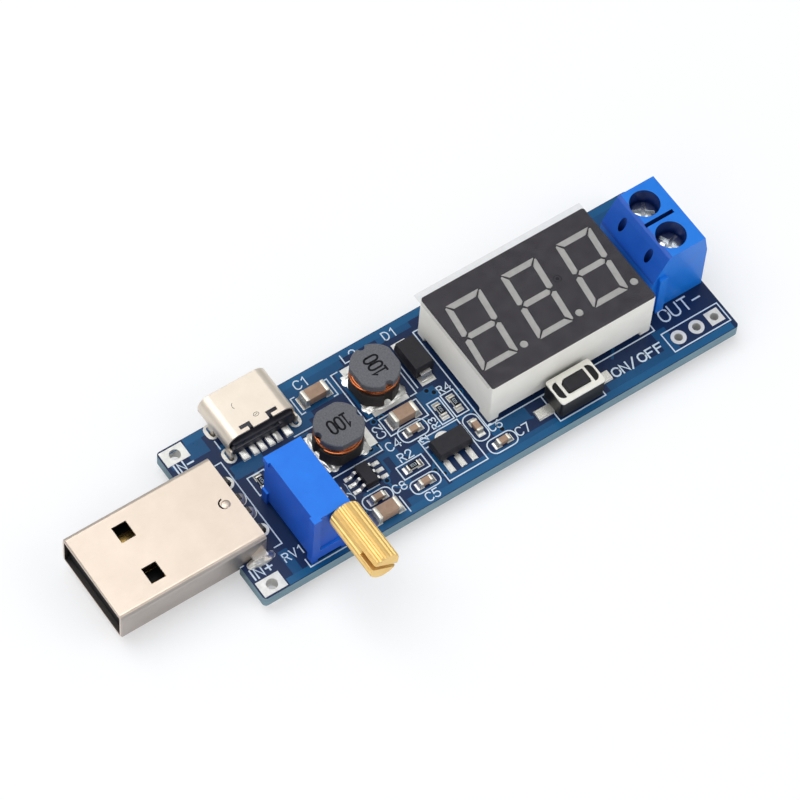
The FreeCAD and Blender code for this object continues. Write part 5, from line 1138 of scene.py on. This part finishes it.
@dataclass
class Legend:
    """White print on the board."""

    words: Sequence[Word] = (
        Word("IN-", 0.6, 18.4, 1.15, line=0.2), Word("IN+", 0.3, 2.65, 1.3, line=0.2),
        Word("RV1", 4.6, 2.65, 1.05),
        Word("C1", 17.8, 20.25, 1.15), Word("L2", 24.35, 20.25, 1.15), Word("D1", 29.9, 20.25, 1.1),
        Word("C2", 23.0, 9.95, 1.05, 90), Word("C4", 22.0, 8.0, 1.1), Word("R3", 28.7, 7.75, 0.85, 90),
        Word("R4", 31.1, 11.1, 0.95), Word("R2", 22.4, 6.15, 1.05), Word("C5", 22.1, 0.35, 1.1),
        Word("C6", 33.1, 3.9, 1.0), Word("C7", 35.35, 1.75, 1.1), Word("C8", 19.55, 3.15, 1.05),
        Word("U2", 26.6, 6.2, 0.9, 90), Word("ON/OFF", 49.0, 2.1, 1.1, stretch=1.22, line=0.2),
        Word("OUT-", 57.95, 4.95, 1.65, line=0.2),
    )

    def outlines(self) -> list[Outline]:
        """Every printed line."""
        lines = [
            Outline([(0.0, 4.85), (0.35, 4.85)]),
            Outline([(4.5, 4.9), (5.5, 4.9), (5.5, 17.1), (4.7, 17.1)]),
            Outline([(6.5, 1.8), (6.5, 0.7), (11.2, 0.7)]),
            Outline([(6.4, 18.6), (6.4, 19.75)]),
            Outline([(14.2, 15.4), (16.7, 15.4)]),
            Outline([(14.8, 8.65), (21.5, 8.65), (21.5, 9.4)]),
            Outline([(22.05, 12.7), (22.05, 19.8), (22.9, 19.8)]),
            Outline([(22.05, 12.7), (22.9, 12.7)]),
            Outline([(28.9, 12.7), (28.9, 17.5)]),
            Outline([(28.1, 12.7), (28.9, 12.7)]),
            Outline([(29.4, 13.2), (29.4, 18.4)]),
            Outline([(17.1, 5.2), (18.7, 5.2)]),
            Outline([(19.7, 0.5), (19.7, 2.7)]),
            Outline(arc(14.6, 5.4, 0.9, 0.9, 60, -20) + arc(14.6, 7.0, 0.9, 0.9, 20, -10)),
            frame_line(6.8, 11.2, 9.0, 13.8),
            frame_line(21.4, 4.1, 24.8, 5.9),
            frame_line(23.3, 9.6, 28.4, 12.1),
            frame_line(29.0, 7.7, 30.6, 10.85),
            frame_line(30.9, 7.65, 32.6, 10.9),
            frame_line(25.5, 1.3, 30.75, 7.4),
            frame_line(40.4, 0.85, 46.7, 4.7),
            frame_line(56.7, 1.15, 64.6, 3.9),
            frame_line(33.1, 4.75, 56.4, 19.5),
            capsule(24.0, 7.8, 27.6, 9.9, 0.8),
            capsule(21.3, 1.7, 24.95, 3.45, 0.7),
            capsule(31.0, 3.5, 32.9, 7.2, 0.8),
            capsule(31.5, 1.25, 35.2, 3.15, 0.8),
            capsule(15.7, 2.9, 19.4, 4.7, 0.75),
        ]
        lines += bracket(16.5, 17.35, 21.4, 19.7, 0.5)
        return lines

    def build(self, datum: Datum) -> None:
        """Adds the printed lines and words as two pieces."""
        bm = bmesh.new()
        for i, line in enumerate(self.outlines()):
            line.draw(bm, datum, PRINT_HIGH + PRINT_STEP * (i % 12))
        Piece("printed_lines", [PRINT_WHITE]).place(bm)
        bm = bmesh.new()
        for word in self.words:
            word.write(bm, datum, PRINT_LOW, PRINT_HIGH - PRINT_LOW)
        Piece("printed_words", [PRINT_WHITE]).place(bm)


@dataclass
class SupplyPlug:
    """The plug: its shell, tongue and contacts."""

    half_width: float = 6.0
    half_height: float = 2.25
    board_gap: float = 0.4
    foot: float = 0.8
    contact_split: float = 2.6
    block_edge: float = 0.08
    contact_edge: float = 0.03
    dome_place: tuple[float, float, float] = (1.98, 10.83, 3.32)
    dome: Sequence[Point] = ((0.0, 0.12), (0.3, 0.11), (0.46, 0.07), (0.56, 0.0))

    def build(self, frame: dict, datum: Datum) -> None:
        """Adds the plug's pieces."""
        low, high = datum.local("plug_shell")
        middle_y, middle_z = (low.y + high.y) / 2, high.z - self.half_height

        def finish_of(face: bmesh.types.BMFace) -> int:
            """Tin on the legs' feet; painted shade as darker metal inside the mouth and on the side walls.
            """
            spot, normal = (face.calc_center_median() - datum.corner) / MM, face.normal
            if spot.x > -self.board_gap:
                return 3 if spot.z < self.foot else 0
            outward = (normal.y * (spot.y - middle_y) / self.half_width
                       + normal.z * (spot.z - middle_z) / self.half_height)
            inner = outward < 0 and abs(normal.x) < 0.5
            return 2 if inner else (1 if abs(normal.y) > 0.5 else 0)

        dress(frame, "plug_shell", NICKEL, choose=finish_of,
              more=[NICKEL_SHADED_SIDE, NICKEL_PAINTED_SHADE, LEAD_TIN], whole=False)
        self.add_dome(datum)
        dress(frame, "plug_insulator", BLACK, self.block_edge)
        self.add_contacts(frame, datum)

    def add_contacts(self, frame: dict, datum: Datum) -> None:
        """The contacts, gilded in the mouth, and dark at the board as painted shade where they sit in their
        holes.
        """
        split = datum.point(self.contact_split, 0.0)
        bm = node_mesh(frame, "plug_contacts")
        bmesh.ops.bisect_plane(bm, geom=[*bm.verts, *bm.edges, *bm.faces], dist=1e-7, plane_co=split,
                               plane_no=(1, 0, 0))
        for face in bm.faces:
            # Past the split, painted shade: dark metal for the ends in their holes.
            face.material_index = 1 if face.calc_center_median().x > split.x else 0
        piece = Piece("plug_contacts_made", [GOLD_CONTACT, NICKEL_PAINTED_SHADE], stands_for=["plug_contacts"],
                      bevel=self.contact_edge)
        piece.place(bm)

    def add_dome(self, datum: Datum) -> None:
        """The small dome that the stop tab's punch leaves."""
        bm = bmesh.new()
        lathe(bm, datum.point(*self.dome_place), self.dome, 24)
        Piece("plug_tab_dome", [NICKEL]).place(bm)


@dataclass
class SupplySocket:
    """The socket: its shell, rear block and leads."""

    edge: float = 0.04
    block_edge: float = 0.06
    marks: Sequence[tuple[Sequence[Point], bool]] = (
        (arc(9.9, 20.82, 0.5, 0.5, 120, 215), False), (arc(11.13, 18.64, 0.34, 0.24, 0, 345, 15), True),
        (((10.95, 18.6), (11.3, 18.68)), False),
    )
    mark_line: float = 0.06
    mark_depth: float = 0.01
    mark_height: float = 0.014
    ridge_low: tuple[float, float, float] = (6.95, 16.43, 2.2)
    ridge_high: tuple[float, float, float] = (13.1, 16.67, 2.38)
    lug_low: tuple[float, float, float] = (-0.22, 16.44, 1.9)
    lug_high: tuple[float, float, float] = (0.22, 16.9, 2.5)
    ridge_round: float = 0.05
    lug_round: float = 0.08

    def build(self, frame: dict, datum: Datum) -> None:
        """Adds the socket's pieces."""
        dress(frame, "socket_shell", SOCKET_NICKEL, self.edge)
        dress(frame, "socket_insulator", SOCKET_BLACK, self.block_edge)
        dress(frame, "socket_contacts", LEAD_TIN, self.edge)
        self.add_marks(datum)
        self.add_ridge(datum)

    def add_marks(self, datum: Datum) -> None:
        """Tool marks on the shell's top, drawn as dark lines of painted shade in their grooves."""
        _, high = datum.local("socket_shell")
        bm = bmesh.new()
        for points, closed in self.marks:
            spots = [datum.point(x, y, high.z - self.mark_depth) for x, y in points]
            ribbon(bm, spots, self.mark_line * MM, self.mark_height * MM, closed)
        Piece("socket_marks", [NICKEL_PAINTED_SHADE]).place(bm)

    def add_ridge(self, datum: Datum) -> None:
        """The ridge along the rear block, with a lug at each end."""
        bm = bmesh.new()
        rounded_box(bm, datum.point(*self.ridge_low), datum.point(*self.ridge_high), self.ridge_round * MM)
        for x in (self.ridge_low[0], self.ridge_high[0]):
            beside = Vector((x, 0.0, 0.0))
            low, high = beside + Vector(self.lug_low), beside + Vector(self.lug_high)
            rounded_box(bm, datum.point(*low), datum.point(*high), self.lug_round * MM)
        Piece("socket_ridge", [SOCKET_BLACK]).place(bm)


@dataclass
class Meter:
    """The three-digit meter with the chip under it."""

    edge: float = 0.12
    board_edge: float = 0.05
    pin_edge: float = 0.04
    chip_edge: float = 0.03
    lead_edge: float = 0.02
    film_gap: float = 0.012
    segment_gap: float = 0.045
    pip_place: Point = (47.9, 12.95)
    pip_rings: Sequence[Point] = ((0.45, 0.07), (0.135, 0.14))
    pip_height: float = 0.006

    def build(self, frame: dict, datum: Datum) -> None:
        """Adds the meter's pieces."""
        dress(frame, "meter_housing", METER_WHITE, self.edge)
        dress(frame, "meter_face", METER_FACE, whole=False)
        self.add_segments(frame)
        self.add_pip(datum)
        self.add_film(datum)
        dress(frame, "meter_board", CARRIER, self.board_edge)
        dress(frame, "meter_pins", LEAD_TIN, self.pin_edge)
        dress(frame, "meter_chip", CHIP_BLACK, self.chip_edge)
        dress(frame, "meter_chip_leads", LEAD_TIN, self.lead_edge)

    def add_segments(self, frame: dict) -> None:
        """The light segments and points, each with a fine dark gap round it."""
        bm = node_mesh(frame, "meter_segments")
        for lump in loose_parts(bm):
            middle = sum((vert.co for vert in lump), Vector()) / len(lump)
            for vert in lump:
                away = vert.co - middle
                away.z = 0.0
                vert.co -= away.normalized() * self.segment_gap * MM
        piece = Piece("meter_segments_made", [METER_LIGHT], stands_for=["meter_segments"],
                      bevel=self.lead_edge)
        piece.place(bm)

    def add_pip(self, datum: Datum) -> None:
        """The moulding mark: a fine ring pressed into the face, drawn as dark lines of painted shade."""
        _, high = datum.local("meter_face")
        bm = bmesh.new()
        for radius, width in self.pip_rings:
            ring = arc(*self.pip_place, radius, radius, 0, 345, 23)
            points = [datum.point(x, y, high.z) for x, y in ring]
            ribbon(bm, points, width * MM, self.pip_height * MM, True)
        Piece("meter_pip", [HOLLOW_SHADE]).place(bm)

    def add_film(self, datum: Datum) -> None:
        """The clear film, a hair above the face so that the two share no plane."""
        low, high = datum.local("meter_film")
        low.z += self.film_gap
        bm = bmesh.new()
        cuboid(bm, datum.point(*low), datum.point(*high))
        Piece("meter_film_sheet", [FILM], stands_for=["meter_film"]).place(bm)


@dataclass
class Adjuster:
    """The adjuster: its housing, knob, wheel and pins."""

    edge: float = 0.1
    knob_edge: float = 0.05
    wheel_edge: float = 0.04
    pin_edge: float = 0.03

    def build(self, frame: dict, datum: Datum) -> None:
        """Adds the adjuster's pieces."""
        # Painted shade: the sides take a darker blue than the top.
        dress(frame, "adjuster_housing", ADJUSTER_BLUE, self.edge, more=[ADJUSTER_SHADED_SIDE],
              choose=lambda face: 0 if face.normal.z > 0.5 else 1)
        dress(frame, "adjuster_knob", BRASS, self.knob_edge, "adjuster")
        dress(frame, "adjuster_wheel", WHEEL_WHITE, self.wheel_edge, "wheel")
        dress(frame, "adjuster_pins", LEAD_TIN, self.pin_edge)


@dataclass
class ScrewTerminal:
    """The two-way screw terminal."""

    edge: float = 0.14
    pin_edge: float = 0.06
    screw_edge: float = 0.05
    cage_edge: float = 0.08
    wall: float = 0.7
    waist: float = 5.0

    def build(self, frame: dict, datum: Datum) -> None:
        """Adds the terminal's pieces."""
        low, high = datum.local("terminal_housing")

        def finish_of(face: bmesh.types.BMFace) -> int:
            """Painted shade: darker blue in the wells and on the sloped face."""
            spot, normal = (face.calc_center_median() - datum.corner) / MM, face.normal
            depth = min(spot.x - low.x, high.x - spot.x, spot.y - low.y, high.y - spot.y)
            if abs(normal.z) < 0.3 and depth > self.wall:
                return 2 if spot.z > low.z + self.waist else 0
            return 1 if normal.x < -0.3 and normal.z > 0.2 else 0

        dress(frame, "terminal_housing", TERMINAL_BLUE, self.edge, segments=3, choose=finish_of,
              more=[TERMINAL_SHADED_SLOPE, TERMINAL_WELL_SHADE])
        dress(frame, "terminal_pins", LEAD_TIN, self.pin_edge)
        for number in (1, 2):
            dress(frame, f"terminal_screw_{number}", SCREW_STEEL, self.screw_edge, f"screw_{number}")
            dress(frame, f"terminal_cage_{number}", SCREW_STEEL, self.cage_edge, f"cage_{number}")


@dataclass
class PushSwitch:
    """The push switch."""

    edge: float = 0.07
    cover_edge: float = 0.06
    lead_edge: float = 0.04
    dome_edge: float = 0.01
    dome_keeps: float = 0.29

    def build(self, frame: dict, datum: Datum) -> None:
        """Adds the switch's pieces."""
        dress(frame, "switch_base", BLACK, self.edge)
        dress(frame, "switch_cover", COVER_STEEL, self.cover_edge)
        # Painted highlight: the button's top takes the lighter chip black, its sides the darker moulding.
        dress(frame, "switch_button", BLACK, self.edge, "button", more=[CHIP_BLACK],
              choose=lambda face: 1 if face.normal.z > 0.5 else 0)
        dress(frame, "switch_leads", LEAD_TIN, self.lead_edge)
        dome = dress(frame, "switch_dome", SCREW_STEEL, self.dome_edge)
        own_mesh(dome)


@dataclass
class Coil:
    """A drum-core coil: its core, winding, solder and end plates, with its value on top."""

    number: int
    turn: float
    edge: float = 0.12
    value: str = "100"
    value_height: float = 1.75
    value_stretch: float = 0.62
    value_line: float = 0.25
    base: float = 2.1
    cap: float = 1.0
    wire: float = 0.3
    pitch: float = 1.04
    outer: float = 2.76
    layers: int = 2
    layer_step: float = 0.8
    steps: int = 40
    sway: float = 0.22
    swing: float = 0.02
    turn_radius: float = 0.44
    stray_radius: float = 0.46
    value_sink: float = 0.015
    value_depth: float = 0.02
    strays: Sequence[tuple[float, float, float, float]] = (
        (20, 120, 0.1, 0.9), (150, 150, 0.85, 0.2), (255, 100, 0.15, 0.8),
    )
    stray_steps: int = 16
    plate: float = 1.7
    plate_edge: float = 0.03
    solder_grow: float = 0.26
    solder_heights: Point = (0.04, 0.5)
    solder_cells: int = 18
    solder_ripple: float = 0.3

    def build(self, frame: dict, datum: Datum) -> None:
        """Adds the coil's pieces."""
        low, high = datum.local(f"coil_core_{self.number}")
        split = datum.point(0.0, 0.0, (low.z + high.z) / 2).z
        # The lower half of the core takes the darker ferrite.
        dress(frame, f"coil_core_{self.number}", FERRITE, self.edge, segments=3, more=[FERRITE_LOWER_DARK],
              choose=lambda face: 0 if face.calc_center_median().z > split else 1)
        self.add_winding(datum, low, high)
        self.add_value(datum, low, high)
        self.add_solder(datum)

    def helix(self, datum: Datum, low: Vector, high: Vector, radius: float, layer: int) -> list[Vector]:
        """Path of one layer of wire, with a little unevenness in its rise."""
        middle = (low + high) / 2
        bottom, top = low.z + self.base + self.wire / 2, high.z - self.cap - self.wire / 2
        turns = int((top - bottom) / self.wire / self.pitch)
        path = []
        for i in range(turns * self.steps + 1):
            angle = 2 * math.pi * i / self.steps + layer
            rise = (top - bottom) * i / (turns * self.steps)
            sway = self.sway * self.wire * math.sin(2 * angle + 1.7 * layer) * math.sin(0.31 * angle)
            z = min(max(bottom + rise + sway, bottom), top)
            wide = radius + self.swing * math.sin(3.3 * angle + layer)
            x, y = middle.x + wide * math.cos(angle), middle.y + wide * math.sin(angle)
            path.append(datum.point(x, y, z))
        return path

    def stray(self, datum: Datum, low: Vector, high: Vector, start: float, sweep: float,
              ends: Point) -> list[Vector]:
        """Path of a turn that crosses the others on the outside.

        Args:
            datum: Where places are given from.
            low: Lowest corner of the core.
            high: Highest corner of the core.
            start: Angle at which it starts, in degrees from the coil's own turn.
            sweep: Angle that it covers.
            ends: Shares of the winding's height at its start and its end.

        Returns:
            The points of its middle line.
        """
        middle = (low + high) / 2
        bottom = low.z + self.base + self.wire / 2
        top = high.z - self.cap - self.wire / 2
        path = []
        for i in range(self.stray_steps + 1):
            share = i / self.stray_steps
            angle = math.radians(start + self.turn + sweep * share)
            z = bottom + (top - bottom) * (ends[0] + (ends[1] - ends[0]) * share)
            reach = self.outer + 0.02 - 0.1 * (2 * share - 1) ** 4
            x, y = middle.x + reach * math.cos(angle), middle.y + reach * math.sin(angle)
            path.append(datum.point(x, y, z))
        return path

    def add_winding(self, datum: Datum, low: Vector, high: Vector) -> None:
        """Copper turns between the two flanges, with a few that cross."""
        bm = bmesh.new()
        for layer in range(self.layers):
            radius = self.outer - self.wire * (0.5 + self.layer_step * layer)
            tube(bm, self.helix(datum, low, high, radius, layer), self.wire * self.turn_radius * MM)
        for start, sweep, first, last in self.strays:
            path = self.stray(datum, low, high, start, sweep, (first, last))
            tube(bm, path, self.wire * self.stray_radius * MM)
        Piece(f"coil_turns_{self.number}", [COPPER], stands_for=[f"coil_winding_{self.number}"]).place(bm)

    def add_value(self, datum: Datum, low: Vector, high: Vector) -> None:
        """The coil's value, pressed into its top, drawn as dark strokes of painted shade."""
        middle = (low + high) / 2
        height, stretch = self.value_height, self.value_stretch
        turn = Matrix.Rotation(math.radians(self.turn), 2)
        corner = turn @ Vector((-word_width(self.value) * height * stretch / 2, -height / 2))
        word = Word(self.value, middle.x + corner.x, middle.y + corner.y, height, self.turn,
                    self.value_line, stretch, True)
        bm = bmesh.new()
        word.write(bm, datum, high.z - self.value_sink, self.value_depth)
        Piece(f"coil_value_{self.number}", [HOLLOW_SHADE]).place(bm)

    def add_solder(self, datum: Datum) -> None:
        """Solder that has run round the end plates."""
        node = f"coil_terminals_{self.number}"
        low, high = datum.local(node)
        along = 0 if self.turn % 180 == 0 else 1
        grow = Vector((self.solder_grow, self.solder_grow, 0.0))
        bm = bmesh.new()
        for side in (0, 1):
            first, last = low.copy(), high.copy()
            if side == 0:
                last[along] = low[along] + self.plate
            else:
                first[along] = high[along] - self.plate
            rounded_box(bm, datum.point(*first), datum.point(*last), self.plate_edge * MM)
            first, last = first - grow, last + grow
            first.z, last.z = self.solder_heights
            mound(bm, datum.point(*first), datum.point(*last), self.solder_cells, self.solder_ripple,
                  2.0 * side + self.number)
        Piece(f"coil_solder_{self.number}", [SOLDER], stands_for=[node]).place(bm)


class ChipKind(Enum):
    """What a chip part is."""

    CAPACITOR = "capacitor"
    RESISTOR = "resistor"


@dataclass
class ChipPart:
    """A chip capacitor or resistor with solder at its ends."""

    kind: ChipKind
    number: int
    large_from: float = 2.5
    large_end: float = 0.55
    capacitor_end: float = 0.34
    resistor_end: float = 0.26
    large_round: float = 0.13
    small_round: float = 0.09
    body_inset: float = 0.035
    body_round: float = 0.05
    coat_depth: float = 0.06
    coat_lap: float = 0.02
    coat_thick: float = 0.05
    coat_drop: float = 0.005
    coat_round: float = 0.04
    digits: str = "103"
    digit_height: float = 0.34
    digit_line: float = 0.035
    digit_depth: float = 0.008
    fillet_reach: float = 0.4
    fillet_limit: float = 0.9
    fillet_share: float = 0.8
    fillet_spread: float = 0.05
    fillet_taper: float = 0.12
    fillet_lap: float = 0.04
    slope: Sequence[Point] = (
        (0.0, 1.0), (0.08, 0.72), (0.22, 0.45), (0.45, 0.22), (0.75, 0.08), (1.0, 0.0),
    )

    def build(self, datum: Datum) -> None:
        """Adds the part's body, metal ends and solder fillets as one piece."""
        node = f"{self.kind.value}_{self.number}"
        low, high = datum.local(node)
        size = high - low
        along = 0 if size.x > size.y else 1
        resistor = self.kind is ChipKind.RESISTOR
        end, rounding = self.resistor_end if resistor else self.capacitor_end, self.small_round
        if size[along] > self.large_from:
            end, rounding = self.large_end, self.large_round
        bm = bmesh.new()
        self.add_body(bm, datum, low, high, along, end)
        for side in (0, 1):
            start = low[along] if side == 0 else high[along] - end
            first, last = self.span(low, high, along, start, start + end, 0.0, low.z, high.z)
            rounded_box(bm, datum.point(*first), datum.point(*last), rounding * MM, 1, 3)
            self.add_fillet(bm, datum, low, high, along, side)
        finishes = [ALUMINA if resistor else CAPACITOR, CAP_END, SOLDER, RESISTOR, PRINT_WHITE]
        Piece(f"{node}_made", finishes, stands_for=[node]).place(bm)

    def span(self, low: Vector, high: Vector, along: int, start: float, end: float, inset: float,
             z0: float, z1: float) -> tuple[Vector, Vector]:
        """Corners of a box that covers a stretch of the part's length."""
        first, last = low.copy(), high.copy()
        first[along], last[along] = start, end
        first[1 - along] += inset
        last[1 - along] -= inset
        first.z, last.z = z0, z1
        return first, last

    def add_body(self, bm: bmesh.types.BMesh, datum: Datum, low: Vector, high: Vector, along: int,
                 end: float) -> None:
        """The ceramic body, with a resistor's dark coat and its digits on top."""
        inset = self.body_inset
        start, stop = low[along] + end * 0.5, high[along] - end * 0.5
        resistor = self.kind is ChipKind.RESISTOR
        top = high.z - (self.coat_depth if resistor else inset)
        first, last = self.span(low, high, along, start, stop, inset, low.z + inset, top)
        rounded_box(bm, datum.point(*first), datum.point(*last), self.body_round * MM, 0)
        if not resistor:
            return
        lap = self.coat_lap
        start, stop = low[along] + end - lap, high[along] - end + lap
        first, last = self.span(low, high, along, start, stop, inset + lap, top - self.coat_thick,
                                high.z - self.coat_drop)
        rounded_box(bm, datum.point(*first), datum.point(*last), self.coat_round * MM, 3)
        before = set(bm.faces)
        turn = 90.0 if along == 1 else 0.0
        middle, height = (low + high) / 2, self.digit_height
        across = Vector((-word_width(self.digits) * height / 2, -height / 2))
        corner = middle.xy + Matrix.Rotation(math.radians(turn), 2) @ across
        word = Word(self.digits, corner.x, corner.y, height, turn, self.digit_line)
        word.write(bm, datum, high.z - self.digit_depth, self.digit_depth)
        for face in set(bm.faces) - before:
            face.material_index = 4

    def add_fillet(self, bm: bmesh.types.BMesh, datum: Datum, low: Vector, high: Vector, along: int,
                   side: int) -> None:
        """A hollow slope of solder from an end cap down to its pad.

        Args:
            bm: The mesh to add to.
            datum: Where places are given from.
            low: Lowest corner of the part.
            high: Highest corner of the part.
            along: Axis along the part, 0 or 1.
            side: 0 for the low end, 1 for the high one.
        """
        height = min(high.z - low.z, self.fillet_limit) * self.fillet_share
        lap = self.fillet_lap
        wall, away = (low[along] + lap, -1) if side == 0 else (high[along] - lap, 1)
        middle, half = (low + high)[1 - along] / 2, (high - low)[1 - along] / 2 + self.fillet_spread
        outline = [*self.slope, (0.0, 0.0)]
        before = set(bm.faces)
        verts = []
        for share, level in outline:
            narrow = self.fillet_taper * (level if share or level else 1.0)
            spot = Vector((0.0, 0.0, low.z + height * level))
            spot[along] = wall + away * self.fillet_reach * share
            spot[1 - along] = middle - half + narrow
            verts.append(bm.verts.new(datum.point(*spot)))
        near = bm.faces.new(verts)
        made = bmesh.ops.extrude_face_region(bm, geom=[near])["geom"]
        for item in made:
            if isinstance(item, bmesh.types.BMVert):
                item.co[1 - along] = 2 * datum.point(middle, middle)[1 - along] - item.co[1 - along]
        for face in set(bm.faces) - before:
            face.material_index = 2


@dataclass
class Semiconductors:
    """The diode, the converter chip and the regulator chip."""

    edge: float = 0.05
    lead_edge: float = 0.03

    def build(self, frame: dict, datum: Datum) -> None:
        """Adds the three bodies and their leads."""
        for name in ("diode_body", "converter_chip", "regulator_chip"):
            dress(frame, name, CHIP_BLACK, self.edge)
        for name in ("diode_leads", "converter_leads", "regulator_leads"):
            dress(frame, name, LEAD_TIN, self.lead_edge)


# Studio


@dataclass(frozen=True)
class Lamp:
    """A large soft lamp aimed at the object."""

    name: str
    place: tuple[float, float, float]
    size: float
    power: float

    def build(self) -> None:
        """Adds the lamp."""
        data = bpy.data.lights.new(self.name, "AREA")
        data.shape = "SQUARE"
        data.size = self.size
        data.energy = self.power
        lamp = bpy.data.objects.new(self.name, data)
        bpy.context.collection.objects.link(lamp)
        lamp.location = self.place
        lamp.rotation_euler = (-Vector(self.place)).to_track_quat("-Z", "Y").to_euler()


@dataclass
class Studio:
    """Camera, lamps, world and floor."""

    lens: float = 187.985
    sensor: float = 36.0
    clip: Point = (0.01, 20.0)
    camera_place: tuple[float, float, float] = (-126.038, -174.167, 402.232)
    camera_right: tuple[float, float, float] = (0.822308, -0.56695, 0.048768)
    camera_down: tuple[float, float, float] = (-0.46656, -0.720796, -0.512616)
    lamps: Sequence[Lamp] = (
        Lamp("key_lamp", (-0.2, 0.3, 0.85), 0.9, 5.4),
        Lamp("fill_lamp", (0.6, -0.6, 0.6), 0.8, 2.4),
        Lamp("front_lamp", (-0.7, -0.45, 0.45), 0.7, 1.5),
    )
    floor_size: float = 6.0
    paper: Colour = (0.95, 0.96, 0.98)
    paper_roughness: float = 0.9
    paper_glow: float = 0.4
    sky: Colour = (0.94, 0.97, 1.0)
    sky_light: float = 0.46

    def build(self, datum: Datum) -> None:
        """Adds everything round the object."""
        self.add_camera(datum)
        self.add_floor()
        self.add_world()
        for lamp in self.lamps:
            lamp.build()
        bpy.context.scene.view_settings.view_transform = "Standard"

    def add_camera(self, datum: Datum) -> None:
        """The camera at the photograph's place and angle."""
        data = bpy.data.cameras.new("camera")
        data.lens = self.lens
        data.sensor_width = self.sensor
        data.sensor_fit = "HORIZONTAL"
        data.clip_start, data.clip_end = self.clip
        camera = bpy.data.objects.new("camera", data)
        bpy.context.collection.objects.link(camera)
        right, down = Vector(self.camera_right).normalized(), Vector(self.camera_down).normalized()
        back = right.cross(-down)
        turn = Matrix((right, -down, back)).transposed().to_4x4()
        camera.matrix_world = Matrix.Translation(datum.point(*self.camera_place)) @ turn
        bpy.context.scene.camera = camera

    def add_floor(self) -> None:
        """A pale floor that keeps the object's shadow."""
        bm = bmesh.new()
        bmesh.ops.create_grid(bm, x_segments=1, y_segments=1, size=self.floor_size / 2)
        mesh = bpy.data.meshes.new("floor")
        bm.to_mesh(mesh)
        bm.free()
        floor = bpy.data.objects.new("floor", mesh)
        bpy.context.collection.objects.link(floor)
        material = bpy.data.materials.new("floor_paper")
        material.use_nodes = True
        nodes, links = material.node_tree.nodes, material.node_tree.links
        paper = nodes["Principled BSDF"]
        paper.inputs["Base Color"].default_value = (*self.paper, 1.0)
        paper.inputs["Roughness"].default_value = self.paper_roughness
        glow = nodes.new("ShaderNodeEmission")
        path = nodes.new("ShaderNodeLightPath")
        share = nodes.new("ShaderNodeMath")
        share.operation = "MULTIPLY"
        share.inputs[1].default_value = self.paper_glow
        mix = nodes.new("ShaderNodeMixShader")
        links.new(path.outputs["Is Camera Ray"], share.inputs[0])
        links.new(share.outputs[0], mix.inputs["Fac"])
        links.new(paper.outputs[0], mix.inputs[1])
        links.new(glow.outputs[0], mix.inputs[2])
        below = nodes.new("ShaderNodeNewGeometry")
        clear = nodes.new("ShaderNodeBsdfTransparent")
        one_sided = nodes.new("ShaderNodeMixShader")
        links.new(below.outputs["Backfacing"], one_sided.inputs["Fac"])
        links.new(mix.outputs[0], one_sided.inputs[1])
        links.new(clear.outputs[0], one_sided.inputs[2])
        links.new(one_sided.outputs[0], nodes["Material Output"].inputs["Surface"])
        mesh.materials.append(material)

    def add_world(self) -> None:
        """White surroundings, at a lower level for light on the object."""
        world = bpy.data.worlds.new("studio")
        world.use_nodes = True
        nodes, links = world.node_tree.nodes, world.node_tree.links
        background = nodes["Background"]
        background.inputs["Color"].default_value = (*self.sky, 1.0)
        path = nodes.new("ShaderNodeLightPath")
        level = nodes.new("ShaderNodeMapRange")
        level.inputs["To Min"].default_value = self.sky_light
        level.inputs["To Max"].default_value = 1.0
        links.new(path.outputs["Is Camera Ray"], level.inputs["Value"])
        links.new(level.outputs["Result"], background.inputs["Strength"])
        bpy.context.scene.world = world

def main() -> None:
    """Builds the whole scene."""
    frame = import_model()
    datum = Datum()
    CircuitBoard().build(frame, datum)
    Legend().build(datum)
    SupplyPlug().build(frame, datum)
    SupplySocket().build(frame, datum)
    Meter().build(frame, datum)
    Adjuster().build(frame, datum)
    ScrewTerminal().build(frame, datum)
    PushSwitch().build(frame, datum)
    Coil(1, 180.0).build(frame, datum)
    Coil(2, 90.0).build(frame, datum)
    for number in range(1, 10):
        ChipPart(ChipKind.CAPACITOR, number).build(datum)
    for number in range(1, 5):
        ChipPart(ChipKind.RESISTOR, number).build(datum)
    Semiconductors().build(frame, datum)
    Studio().build(datum)


if __name__ == "__main__":
    logging.basicConfig(level=logging.INFO)
    main()
